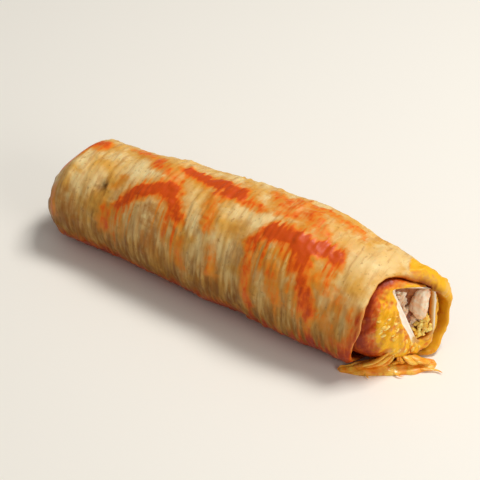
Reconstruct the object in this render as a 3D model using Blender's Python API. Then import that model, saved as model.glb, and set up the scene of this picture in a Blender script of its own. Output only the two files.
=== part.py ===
"""A baked burrito: a flour tortilla rolled round shredded chicken, with melted cheese at its foot.

Frame: metres, +X along the roll towards the open end, -Y the front flank, +Z up.
The origin is the middle of the footprint, on the surface that the roll rests on.
A point of the roll is given by its place along the roll and its turn round it: a turn of 0 is
the top, a quarter turn is the back and minus a quarter turn is the front.
"""

import math

import bmesh
import bpy
from mathutils import Matrix, Vector

MM = 0.001
COLLECTION_NAME = "burrito"

# ---- The roll ----
FAR_TIP = -100.5 * MM
FRONT_LIP = 76.0 * MM
UPPER_LIP = 83.0 * MM
BACK_LIP = 102.0 * MM
# Place along the roll, half width and half height: slim ends, a shallow waist, a full middle.
ROLL_STATIONS = (
    (-100.5 * MM, 23.6 * MM, 23.6 * MM),
    (-82.0 * MM, 24.8 * MM, 24.6 * MM),
    (-64.0 * MM, 24.9 * MM, 24.8 * MM),
    (-31.0 * MM, 27.0 * MM, 26.6 * MM),
    (8.0 * MM, 28.3 * MM, 27.9 * MM),
    (42.0 * MM, 28.9 * MM, 28.4 * MM),
    (72.0 * MM, 26.8 * MM, 26.0 * MM),
    (90.0 * MM, 25.0 * MM, 24.2 * MM),
    (104.0 * MM, 24.0 * MM, 23.2 * MM),
)
SQUARENESS = 2.15
FOOT_PRESS = 1.8 * MM
BEND = 1.4 * MM
SEAM_TURN = math.radians(32.0)
SEAM_STEP = 1.2 * MM
SEAM_START = -30.0 * MM
SEAM_FULL = 20.0 * MM
# Soft lumps of the filling: place, turn, half length, half turn, height.
LUMPS = (
    (-84.0 * MM, math.radians(-58.0), 11.0 * MM, math.radians(34.0), 1.2 * MM),
    (-64.0 * MM, math.radians(-40.0), 6.0 * MM, math.radians(14.0), -0.9 * MM),
    (-58.0 * MM, math.radians(-40.0), 8.0 * MM, math.radians(60.0), -0.9 * MM),
    (-38.0 * MM, math.radians(15.0), 12.0 * MM, math.radians(40.0), 0.9 * MM),
    (14.0 * MM, math.radians(-60.0), 7.0 * MM, math.radians(50.0), -1.0 * MM),
    (40.0 * MM, math.radians(-20.0), 15.0 * MM, math.radians(45.0), 0.8 * MM),
    (-10.0 * MM, math.radians(120.0), 18.0 * MM, math.radians(35.0), 0.9 * MM),
    (55.0 * MM, math.radians(105.0), 14.0 * MM, math.radians(40.0), -0.9 * MM),
)

# ---- The far end, folded shut ----
DOME_LENGTH = 21.0 * MM
DOME_SQUARENESS = 2.6
FAR_POLE_HEIGHT = 17.0 * MM
FAR_SLANT = 3.5 * MM
TUCK_DEPTH = 3.5 * MM
TUCK_REACH = 0.4
TUCK_PLEATS = 5
TUCK_PLEAT_HEIGHT = 0.7 * MM

# ---- The open end: the outer layer's lip and the tucked fold inside it ----
SLANT_FROM_TURN = math.radians(-150.0)
SLANT_TO_TURN = math.radians(-65.0)
HOOD_FROM_TURN = math.radians(-25.0)
HOOD_TO_TURN = math.radians(50.0)
HOOD_FALL_FROM_TURN = math.radians(150.0)
HOOD_FALL_TO_TURN = math.radians(205.0)
LIP_WALL = 2.4 * MM
HOOD_EXTRA_WALL = 1.2 * MM
LIP_ROUNDING = 1.6 * MM
FRONT_GROOVE_DEPTH = 6.0 * MM
BACK_GROOVE_DEPTH = 14.0 * MM
FRONT_GROOVE_GAP = 2.4 * MM
BACK_GROOVE_GAP = 1.3 * MM
OPENING_HEIGHT = 27.5 * MM
OPENING_OFFSET = 5.0 * MM
OPENING_PLACE = 95.1 * MM
OPENING_SLOPE_Y = 0.61
OPENING_SLOPE_Z = -0.20
# Each side of the four-sided opening: the turn that it faces and its distance from the middle.
OPENING_SIDES = (
    (math.radians(20.0), 10.2 * MM),
    (math.radians(98.0), 5.9 * MM),
    (math.radians(168.0), 15.0 * MM),
    (math.radians(-103.0), 6.7 * MM),
)
OPENING_CORNER_POWER = 7.0
FOLD_SQUARENESS = 2.2
FOLD_FOOT_SQUARENESS = 4.2
PLEAT_COUNT = 9
PLEAT_HEIGHT = 0.7 * MM

# ---- Walls and gaps ----
WALL = 4.4 * MM
FOLD_WALL = 2.3 * MM
CLEARANCE = 0.45 * MM

# ---- The filling behind the opening ----
FILLING_RECESS = 2.6 * MM
FILLING_HOLLOW = 5.0 * MM
FILLING_LUMP = 0.9 * MM

# ---- Cheese that ran out at the foot of the fold ----
CHEESE_THICKNESS = 3.0 * MM
CHEESE_EDGE_TURN = 0.18
# Middle line of the spill on the surface, with its half width at each point.
CHEESE_SPINE = (
    (70.5 * MM, -22.0 * MM, 1.2 * MM),
    (77.0 * MM, -18.2 * MM, 3.0 * MM),
    (84.0 * MM, -12.0 * MM, 4.8 * MM),
    (91.5 * MM, -5.6 * MM, 5.4 * MM),
    (99.5 * MM, 1.2 * MM, 4.3 * MM),
    (105.0 * MM, 5.6 * MM, 1.5 * MM),
)

# ---- How finely the pieces are faceted ----
ROLL_COLUMNS = 44
BODY_RINGS = 24
DOME_RINGS = 7
FOLD_RINGS = 8
INNER_BODY_RINGS = 8
CHEESE_STEPS = 16
CHEESE_COLUMNS = 12


def clear_scene():
    """Remove every object that the file opened with."""
    for scene_object in list(bpy.data.objects):
        bpy.data.objects.remove(scene_object, do_unlink=True)


def mix(start, end, share):
    return start + (end - start) * share


def ease(edge_low, edge_high, value):
    """Rise smoothly from 0 at edge_low to 1 at edge_high."""
    share = min(max((value - edge_low) / (edge_high - edge_low), 0.0), 1.0)
    return share * share * (3.0 - 2.0 * share)


def wrapped(turn):
    """The same turn, between minus a half turn and a half turn."""
    return math.atan2(math.sin(turn), math.cos(turn))


def girth(place):
    """Half width and half height of the roll at a place along it."""
    last = len(ROLL_STATIONS) - 1
    for index in range(last):
        low, high = ROLL_STATIONS[index], ROLL_STATIONS[index + 1]
        if place <= high[0] or index == last - 1:
            share = ease(low[0], high[0], place)
            return mix(low[1], high[1], share), mix(low[2], high[2], share)


def swelling(place, turn):
    """How far the skin stands proud at a point, from lumps and from the overlapping layer."""
    height = 0.0
    for middle, middle_turn, half_length, half_turn, lump in LUMPS:
        along = (place - middle) / half_length
        around = wrapped(turn - middle_turn) / half_turn
        height += lump * math.exp(-along * along - around * around)
    lap = ((turn - SEAM_TURN) / math.tau) % 1.0
    height += SEAM_STEP * lap * ease(SEAM_START, SEAM_FULL, place)
    return height


def signed_power(value, power):
    return math.copysign(abs(value) ** power, value)


def skin_section(place, turn):
    """Outer outline of the roll, pressed flat where it rests."""
    half_width, half_height = girth(place)
    proud = swelling(place, turn)
    middle_height = half_height - FOOT_PRESS
    across = (half_width + proud) * signed_power(math.sin(turn), 2.0 / SQUARENESS)
    up = (half_height + proud) * signed_power(math.cos(turn), 2.0 / SQUARENESS)
    bow = BEND * math.cos(math.pi * place / (BACK_LIP - FAR_TIP))
    return Vector((place, across + bow, max(middle_height + up, 0.0)))


def core_point(place):
    """Middle of the roll at a place along it."""
    half_height = girth(place)[1]
    bow = BEND * math.cos(math.pi * place / (BACK_LIP - FAR_TIP))
    return Vector((place, bow, half_height - FOOT_PRESS))


def drawn_in(place, turn, depth):
    """Point at a depth below the skin, measured towards the middle of the roll."""
    outer = skin_section(place, turn)
    inward = core_point(place) - outer
    return outer + inward * (depth / inward.length)


def turns(columns):
    return [math.tau * index / columns - math.pi for index in range(columns)]


def dome_ring(columns, share, inset):
    """Ring of the shut far end: share runs from 0 at its pole to 1 where the roll begins."""
    angle = share * math.pi / 2.0
    spread = math.sin(angle) ** (2.0 / DOME_SQUARENESS)
    depth = DOME_LENGTH * (1.0 - max(math.cos(angle), 0.0) ** (2.0 / DOME_SQUARENESS))
    ring = []
    for turn in turns(columns):
        place = FAR_TIP + depth
        pole = Vector((place, 0.0, FAR_POLE_HEIGHT))
        outer = skin_section(place, turn)
        point = pole + (outer - pole) * spread
        leaning = max(point.z - FAR_POLE_HEIGHT, 0.0) / FAR_POLE_HEIGHT
        point.x += tuck_shape(spread, turn) + FAR_SLANT * leaning * math.sin(math.pi * share)
        ring.append(inset_towards(point, core_point(FAR_TIP + DOME_LENGTH), inset))
    return ring


def tuck_shape(spread, turn):
    """Dimple and radiating pleats where the far end is tucked in."""
    dimple = TUCK_DEPTH * (1.0 - ease(0.0, TUCK_REACH, spread))
    window = ease(0.0, TUCK_REACH, spread) * (1.0 - ease(TUCK_REACH, 1.0, spread))
    return dimple + TUCK_PLEAT_HEIGHT * math.cos(TUCK_PLEATS * turn) * window


def inset_towards(point, target, distance):
    inward = target - point
    return point + inward * (distance / inward.length)


def hood(turn):
    """0 on the front, where the outer layer ends early, and 1 at the back, where it runs on."""
    if math.cos(turn) > 0.0:
        return ease(HOOD_FROM_TURN, HOOD_TO_TURN, wrapped(turn))
    return 1.0 - ease(HOOD_FALL_FROM_TURN, HOOD_FALL_TO_TURN, turn % math.tau)


def lip_place(turn):
    """Where the outer layer ends: slanting on the front flank, running on as a hood at the back."""
    front = mix(FRONT_LIP, UPPER_LIP, ease(SLANT_FROM_TURN, SLANT_TO_TURN, wrapped(turn)))
    if math.cos(turn) < 0.0 and math.sin(turn) > 0.0:
        front = FRONT_LIP
    return mix(front, BACK_LIP, hood(turn))


def groove_place(turn):
    """Place of the bottom of the groove between the lip and the fold."""
    return lip_place(turn) - mix(FRONT_GROOVE_DEPTH, BACK_GROOVE_DEPTH, hood(turn))


def lip_wall(turn):
    return LIP_WALL + HOOD_EXTRA_WALL * hood(turn)


def opening_point(turn):
    """Point on the edge of the four-sided opening, on the fold's outer face."""
    reach = 0.0
    for facing, distance in OPENING_SIDES:
        reach += max(math.cos(turn - facing) / distance, 0.0) ** OPENING_CORNER_POWER
    radius = reach ** (-1.0 / OPENING_CORNER_POWER)
    across = radius * math.sin(turn)
    up = radius * math.cos(turn)
    place = OPENING_PLACE + OPENING_SLOPE_Y * across + OPENING_SLOPE_Z * up
    return Vector((place, OPENING_OFFSET + across, OPENING_HEIGHT + up))


def fold_point(turn, share, pleated):
    """Point of the tucked fold: share runs from 1 at its root in the groove to 0 at the opening."""
    gap = mix(FRONT_GROOVE_GAP, BACK_GROOVE_GAP, hood(turn))
    root = drawn_in(groove_place(turn), turn, lip_wall(turn) + gap)
    rim = opening_point(turn)
    low = ease(math.radians(100.0), math.radians(170.0), abs(turn))
    power = mix(FOLD_SQUARENESS, FOLD_FOOT_SQUARENESS, low)
    rise = (1.0 - share ** power) ** (1.0 / power)
    point = root + (rim - root) * (1.0 - share)
    point.x = mix(root.x, rim.x, rise)
    if pleated:
        window = math.sin(math.pi * share) * (0.4 + 0.6 * low)
        point.x += PLEAT_HEIGHT * math.cos(PLEAT_COUNT * turn) * window
    return point


def fold_inside(turn, share, depth):
    """Point below the fold's outer face, measured towards the middle of the roll behind it."""
    behind = core_point(FRONT_LIP - 2.0 * FRONT_GROOVE_DEPTH)
    return inset_towards(fold_point(turn, share, False), behind, depth)


def body_shares(count):
    return [(index + 1) / count for index in range(count)]


def tortilla_rings():
    """Rings from the far pole over the skin and the lip to the opening, and back inside."""
    columns = ROLL_COLUMNS
    start = FAR_TIP + DOME_LENGTH
    rings = [dome_ring(columns, (index + 1) / DOME_RINGS, 0.0) for index in range(DOME_RINGS)]
    for share in body_shares(BODY_RINGS):
        rings.append([
            skin_section(mix(start, lip_place(turn) - LIP_ROUNDING, share), turn) for turn in turns(columns)
        ])
    for back, depth_share in ((0.45, 0.12), (0.0, 0.5), (0.45, 0.88), (1.0, 1.0)):
        rings.append([
            drawn_in(lip_place(turn) - back * LIP_ROUNDING, turn, depth_share * lip_wall(turn))
            for turn in turns(columns)
        ])
    rings.append([drawn_in(groove_place(turn), turn, lip_wall(turn)) for turn in turns(columns)])
    fold_shares = [1.0 - index / FOLD_RINGS for index in range(FOLD_RINGS + 1)]
    for share in fold_shares:
        rings.append([fold_point(turn, share, True) for turn in turns(columns)])
    for share in reversed(fold_shares):
        rings.append([fold_inside(turn, share, FOLD_WALL) for turn in turns(columns)])
    rings += inner_rings(columns, WALL)
    return rings


def inner_rings(columns, depth):
    """Rings of the inner wall, from behind the fold to the far pole."""
    start = FAR_TIP + DOME_LENGTH
    rings = []
    for share in reversed(body_shares(INNER_BODY_RINGS)):
        share -= 0.5 / INNER_BODY_RINGS
        rings.append([
            drawn_in(mix(start, groove_place(turn) - WALL, share), turn, depth) for turn in turns(columns)
        ])
    rings += [dome_ring(columns, share, depth) for share in (0.85, 0.65, 0.45, 0.25)]
    return rings


def filling_rings():
    """Rings of the filling, from its lumpy end face in the opening to the far pole."""
    columns = ROLL_COLUMNS
    rings = []
    for spread in (0.35, 0.75):
        rings.append([filling_face(turn, spread) for turn in turns(columns)])
    for share in body_shares(FOLD_RINGS):
        rings.append([fold_inside(turn, share, FOLD_WALL + CLEARANCE) for turn in turns(columns)])
    rings += inner_rings(columns, WALL + CLEARANCE)
    return rings


def filling_face(turn, spread):
    """End face of the filling: close behind the opening at the back, hollow at the front."""
    rim = fold_inside(turn, 0.0, FOLD_WALL + CLEARANCE)
    middle = filling_pole()
    point = middle + (rim - middle) * spread
    hollow = ease(0.3, -1.0, math.sin(turn)) * FILLING_HOLLOW * math.sin(math.pi * spread)
    point.x -= hollow * 0.5 + FILLING_LUMP * math.cos(3.0 * turn) * spread * (1.0 - spread)
    return point


def filling_pole():
    return Vector((OPENING_PLACE - FOLD_WALL - FILLING_RECESS, OPENING_OFFSET, OPENING_HEIGHT))


def loft(name, rings, first_pole, last_pole):
    """Closed body through rings of equal count, with a pole at each end."""
    mesh = bpy.data.meshes.new(name)
    work = bmesh.new()
    loops = [[work.verts.new(point) for point in ring] for ring in rings]
    count = len(loops[0])
    for near, far in zip(loops, loops[1:]):
        for index in range(count):
            after = (index + 1) % count
            work.faces.new((near[index], near[after], far[after], far[index]))
    for pole, ring in ((first_pole, loops[0]), (last_pole, loops[-1])):
        tip = work.verts.new(pole)
        for index in range(count):
            work.faces.new((tip, ring[index], ring[(index + 1) % count]))
    bmesh.ops.recalc_face_normals(work, faces=work.faces)
    bmesh.ops.triangulate(work, faces=work.faces)
    work.to_mesh(mesh)
    work.free()
    mesh.shade_smooth()
    return bpy.data.objects.new(name, mesh)


def mean_point(ring):
    return sum(ring, Vector()) / len(ring)


def make_tortilla():
    rings = tortilla_rings()
    first_pole = Vector((FAR_TIP + TUCK_DEPTH, 0.0, FAR_POLE_HEIGHT))
    return loft("tortilla", rings, first_pole, mean_point(rings[-1]))


def make_filling():
    rings = filling_rings()
    return loft("chicken_filling", rings, filling_pole(), mean_point(rings[-1]))


def spine_point(share):
    """Smooth point and half width at a share of the cheese's middle line."""
    scaled = share * (len(CHEESE_SPINE) - 1)
    index = min(int(scaled), len(CHEESE_SPINE) - 2)
    local = scaled - index
    before = CHEESE_SPINE[max(index - 1, 0)]
    low, high = CHEESE_SPINE[index], CHEESE_SPINE[index + 1]
    after = CHEESE_SPINE[min(index + 2, len(CHEESE_SPINE) - 1)]
    values = []
    for p0, p1, p2, p3 in zip(before, low, high, after):
        bend = 2.0 * p0 - 5.0 * p1 + 4.0 * p2 - p3
        twist = 3.0 * (p1 - p2) + p3 - p0
        values.append(0.5 * (2.0 * p1 + (p2 - p0) * local + bend * local ** 2 + twist * local ** 3))
    return values


def cheese_ring(share):
    """Section across the spill: flat below, rounded above, thinning to both ends."""
    across_x, across_y, half_width = spine_point(share)
    ahead_x, ahead_y, _ = spine_point(min(share + 0.02, 1.0))
    behind_x, behind_y, _ = spine_point(max(share - 0.02, 0.0))
    run = Vector((ahead_x - behind_x, ahead_y - behind_y, 0.0)).normalized()
    side = Vector((run.y, -run.x, 0.0))
    height = CHEESE_THICKNESS * (0.45 + 0.55 * math.sin(math.pi * share))
    ring = []
    for index in range(CHEESE_COLUMNS):
        angle = math.tau * index / CHEESE_COLUMNS
        up = max(math.sin(angle), -CHEESE_EDGE_TURN)
        level = height * (up + CHEESE_EDGE_TURN) / (1.0 + CHEESE_EDGE_TURN)
        ring.append(Vector((across_x, across_y, level)) + side * half_width * math.cos(angle))
    return ring


def make_cheese():
    rings = [cheese_ring(index / CHEESE_STEPS) for index in range(CHEESE_STEPS + 1)]
    return loft("melted_cheese", rings, mean_point(rings[0]), mean_point(rings[-1]))


def make_material(name, colour, roughness):
    material = bpy.data.materials.new(name)
    material.use_nodes = True
    shader = material.node_tree.nodes["Principled BSDF"]
    shader.inputs["Base Color"].default_value = (*colour, 1.0)
    shader.inputs["Roughness"].default_value = roughness
    shader.inputs["Metallic"].default_value = 0.0
    return material


def footprint_shift(pieces):
    """Move that brings the middle of the whole footprint to the origin."""
    points = [vertex.co for piece in pieces for vertex in piece.data.vertices]
    middle_x = (min(point.x for point in points) + max(point.x for point in points)) / 2.0
    middle_y = (min(point.y for point in points) + max(point.y for point in points)) / 2.0
    return Matrix.Translation((-middle_x, -middle_y, 0.0))


def main():
    clear_scene()
    collection = bpy.data.collections.new(COLLECTION_NAME)
    bpy.context.scene.collection.children.link(collection)
    pieces = (
        (make_tortilla(), make_material("baked_tortilla", (0.62, 0.38, 0.16), 0.6)),
        (make_filling(), make_material("cooked_chicken", (0.72, 0.50, 0.36), 0.5)),
        (make_cheese(), make_material("melted_cheese", (0.85, 0.58, 0.20), 0.35)),
    )
    to_origin = footprint_shift([piece for piece, _ in pieces])
    for piece, material in pieces:
        piece.data.transform(to_origin)
        piece.data.materials.append(material)
        collection.objects.link(piece)


main()
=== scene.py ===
"""Looks of a baked burrito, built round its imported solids.

Frame: metres, +X along the roll towards the open end, -Y the front flank, +Z up.
A point of the roll is given by its place along the roll and its turn round it: a turn of 0 is
the top, a quarter turn is the back and minus a quarter turn is the front.
"""

import logging
import math
import random
from dataclasses import dataclass, field
from enum import Enum
from typing import Callable, Iterable, Sequence

import bmesh
import bpy
from mathutils import Matrix, Vector, noise


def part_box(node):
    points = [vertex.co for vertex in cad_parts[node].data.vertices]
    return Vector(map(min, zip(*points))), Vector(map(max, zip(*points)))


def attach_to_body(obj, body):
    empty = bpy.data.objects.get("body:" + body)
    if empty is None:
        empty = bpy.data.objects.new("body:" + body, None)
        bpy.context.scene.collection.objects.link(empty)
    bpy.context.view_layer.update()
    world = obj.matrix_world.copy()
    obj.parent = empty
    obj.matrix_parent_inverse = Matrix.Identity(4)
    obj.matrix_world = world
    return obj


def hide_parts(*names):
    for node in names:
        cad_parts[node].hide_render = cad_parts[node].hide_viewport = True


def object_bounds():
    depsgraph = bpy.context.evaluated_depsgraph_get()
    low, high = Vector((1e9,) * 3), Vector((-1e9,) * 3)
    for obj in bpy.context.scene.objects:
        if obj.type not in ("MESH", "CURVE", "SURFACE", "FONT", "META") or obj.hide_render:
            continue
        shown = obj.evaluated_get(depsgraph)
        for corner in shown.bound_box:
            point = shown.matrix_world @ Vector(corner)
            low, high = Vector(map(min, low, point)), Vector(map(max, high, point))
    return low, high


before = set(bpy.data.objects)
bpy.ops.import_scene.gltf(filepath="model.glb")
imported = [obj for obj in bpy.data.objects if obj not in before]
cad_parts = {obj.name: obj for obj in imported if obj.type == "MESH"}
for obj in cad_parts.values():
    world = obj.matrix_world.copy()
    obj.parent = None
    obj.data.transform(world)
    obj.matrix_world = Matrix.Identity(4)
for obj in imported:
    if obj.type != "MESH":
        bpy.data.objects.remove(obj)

LOG = logging.getLogger("burrito")
CAD_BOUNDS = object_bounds()
BODY = "root"
MM = 0.001
Colour = tuple[float, float, float]


def mm(value: float) -> float:
    """Metres from millimetres."""
    return value * MM


def srgb(red: int, green: int, blue: int) -> Colour:
    """Linear colour from its everyday 0 to 255 values.

    Args:
        red: Red, 0 to 255.
        green: Green, 0 to 255.
        blue: Blue, 0 to 255.

    Returns:
        The linear colour that a shader takes.
    """
    def linear(level: int) -> float:
        """One channel, linear."""
        share = level / 255.0
        return share / 12.92 if share <= 0.04045 else ((share + 0.055) / 1.055) ** 2.4

    return linear(red), linear(green), linear(blue)


def mix(start: float, end: float, share: float) -> float:
    """Value at a share of the way from start to end."""
    return start + (end - start) * share


def ease(low: float, high: float, value: float) -> float:
    """Rise smoothly from 0 at low to 1 at high."""
    share = min(max((value - low) / (high - low), 0.0), 1.0)
    return share * share * (3.0 - 2.0 * share)


def wrapped(turn: float) -> float:
    """The same turn, between minus a half turn and a half turn."""
    return math.atan2(math.sin(turn), math.cos(turn))


def signed_power(value: float, power: float) -> float:
    """A power that keeps the sign."""
    return math.copysign(abs(value) ** power, value)


def inset_towards(point: Vector, target: Vector, distance: float) -> Vector:
    """Point moved a distance towards a target."""
    inward = target - point
    return point + inward * (distance / inward.length)


class CoatKind(Enum):
    """What lies on the tortilla, and its painted shade and painted highlight, by the name of the mesh attribute
    that holds its amount.
    """

    SAUCE = "sauce"
    TOAST = "toast"
    PALE_AND_HIGHLIGHT = "pale"
    CHEESE = "cheese"
    SOAK_AND_SHADE = "soak_and_shade"
    DARK = "shade_and_soaked_sauce"


@dataclass(frozen=True)
class Stain:
    """A stroke of sauce, toasting, bare cream, painted shade or a painted highlight on the unrolled skin.

    Attributes:
        start: Place in millimetres and turn in degrees where the stroke starts.
        end: Place and turn where it ends.
        radius: Half its width in millimetres.
        strength: Its amount, 1 for a full coat.
        run: How far it ran down the flank, in millimetres.
        kind: What it is made of, or the painted shade or painted highlight that it stands for.
    """

    start: tuple[float, float]
    end: tuple[float, float]
    radius: float
    strength: float
    run: float = 0.0
    kind: CoatKind = CoatKind.SAUCE


SKIN_RADIUS_MM = 27.5
MM_PER_DEGREE = SKIN_RADIUS_MM * math.pi / 180.0

STAINS = (
    Stain((-100, -34), (-88, -8), 4.6, 0.9),
    Stain((-92, -6), (-78, 12), 3.6, 0.85),
    # Painted shade in the dimple of the tucked far end, a dark stroke over its hollow.
    Stain((-64, -43), (-64, -38), 1.5, 0.95, kind=CoatKind.DARK),
    Stain((-57, -33), (-55, -26), 2.4, 0.4),
    # Painted highlight on the top of the far end, drawn as bare cream.
    Stain((-54, -12), (-49, -2), 5.5, 1.0, kind=CoatKind.PALE_AND_HIGHLIGHT),
    Stain((-62, 28), (-42, 4), 2.6, 0.62),
    Stain((-42, 4), (-27, -12), 2.4, 0.55),
    Stain((-58, -62), (-56, -84), 2.6, 0.6, 10.0),
    Stain((-50, -52), (-43, -34), 4.2, 1.0, 24.0),
    Stain((-43, -32), (-27, -22), 4.2, 1.15, 6.0),
    Stain((-26, -23), (-18, -46), 4.2, 1.0, 22.0),
    Stain((-32, -50), (-30, -78), 6.5, 0.75, kind=CoatKind.TOAST),
    Stain((-28, 8), (-10, 4), 3.2, 1.15),
    Stain((-12, 4), (4, 1), 3.0, 1.05, 2.0),
    Stain((-8, -10), (2, -3), 1.8, 0.75, 7.0),
    Stain((0, -3), (17, -8), 2.0, 0.75, 5.0),
    Stain((-5, -20), (-1, -44), 2.4, 0.55, 12.0),
    Stain((16, 14), (42, 8), 1.1, 0.62),
    Stain((20, 6), (44, 1), 1.0, 0.6),
    Stain((28, 20), (64, 12), 0.9, 0.62),
    Stain((24, -3), (52, -5), 0.9, 0.6),
    Stain((22, -46), (30, -27), 3.2, 0.85, 24.0),
    Stain((30, -26), (44, -24), 4.6, 1.1, 12.0),
    Stain((43, -26), (60, -20), 4.8, 1.15, 16.0),
    Stain((49, -38), (57, -78), 3.8, 0.95, 24.0),
    Stain((36, -56), (41, -80), 3.2, 0.55, 14.0),
    Stain((24, -60), (27, -98), 2.2, 0.6, 12.0),
    Stain((66, -78), (70, -96), 2.6, 0.4, 8.0),
    Stain((60, -48), (70, -58), 4.0, 0.45, 14.0),
    Stain((4, -60), (6, -84), 3.0, 0.4, 12.0),
    Stain((-14, -66), (-10, -90), 2.6, 0.45, 12.0),
    Stain((14, -34), (18, -58), 5.0, 0.4, kind=CoatKind.TOAST),
    Stain((8, -22), (13, -12), 3.4, 0.8, kind=CoatKind.PALE_AND_HIGHLIGHT),
    Stain((20, -24), (24, -14), 4.0, 0.8, kind=CoatKind.PALE_AND_HIGHLIGHT),
    Stain((66, -16), (80, -2), 7.0, 0.9, kind=CoatKind.PALE_AND_HIGHLIGHT),
    Stain((-22, -16), (-14, -30), 4.0, 0.6, kind=CoatKind.PALE_AND_HIGHLIGHT),
    Stain((-74, 52), (-62, 76), 3.6, 0.6, 10.0),
    Stain((-42, 76), (-33, 98), 3.4, 0.85, 6.0),
    Stain((-33, 98), (-20, 88), 3.8, 0.9, 12.0),
    Stain((-6, 50), (8, 66), 3.0, 0.7, 16.0),
    Stain((12, 104), (20, 86), 3.2, 0.8),
    Stain((20, 86), (38, 96), 4.0, 0.95, 12.0),
    Stain((48, 58), (58, 80), 3.2, 0.7, 14.0),
    Stain((-86, 60), (-90, 110), 4.0, 0.6),
    Stain((-20, 110), (-4, 118), 4.0, 0.7, kind=CoatKind.TOAST),
    Stain((36, 118), (52, 122), 4.6, 0.7, kind=CoatKind.TOAST),
    Stain((-80, -62), (-74, -92), 5.0, 0.55, kind=CoatKind.TOAST),
    Stain((-90, -60), (-88, -90), 3.6, 0.4, 8.0),
)


@dataclass(frozen=True)
class Lump:
    """A soft lump or hollow of the skin.

    Attributes:
        place: Middle along the roll.
        turn: Middle round the roll.
        half_length: Reach along the roll.
        half_turn: Reach round the roll.
        height: How far it stands proud; a hollow is negative.
    """

    place: float
    turn: float
    half_length: float
    half_turn: float
    height: float

    def at(self, place: float, turn: float) -> float:
        """Height of the lump at a point of the roll."""
        along = (place - self.place) / self.half_length
        around = wrapped(turn - self.turn) / self.half_turn
        return self.height * math.exp(-along * along - around * around)


def lump(place: float, turn: float, half_length: float, half_turn: float, height: float) -> Lump:
    """Lump from millimetres and degrees."""
    return Lump(mm(place), math.radians(turn), mm(half_length), math.radians(half_turn), mm(height))


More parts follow.
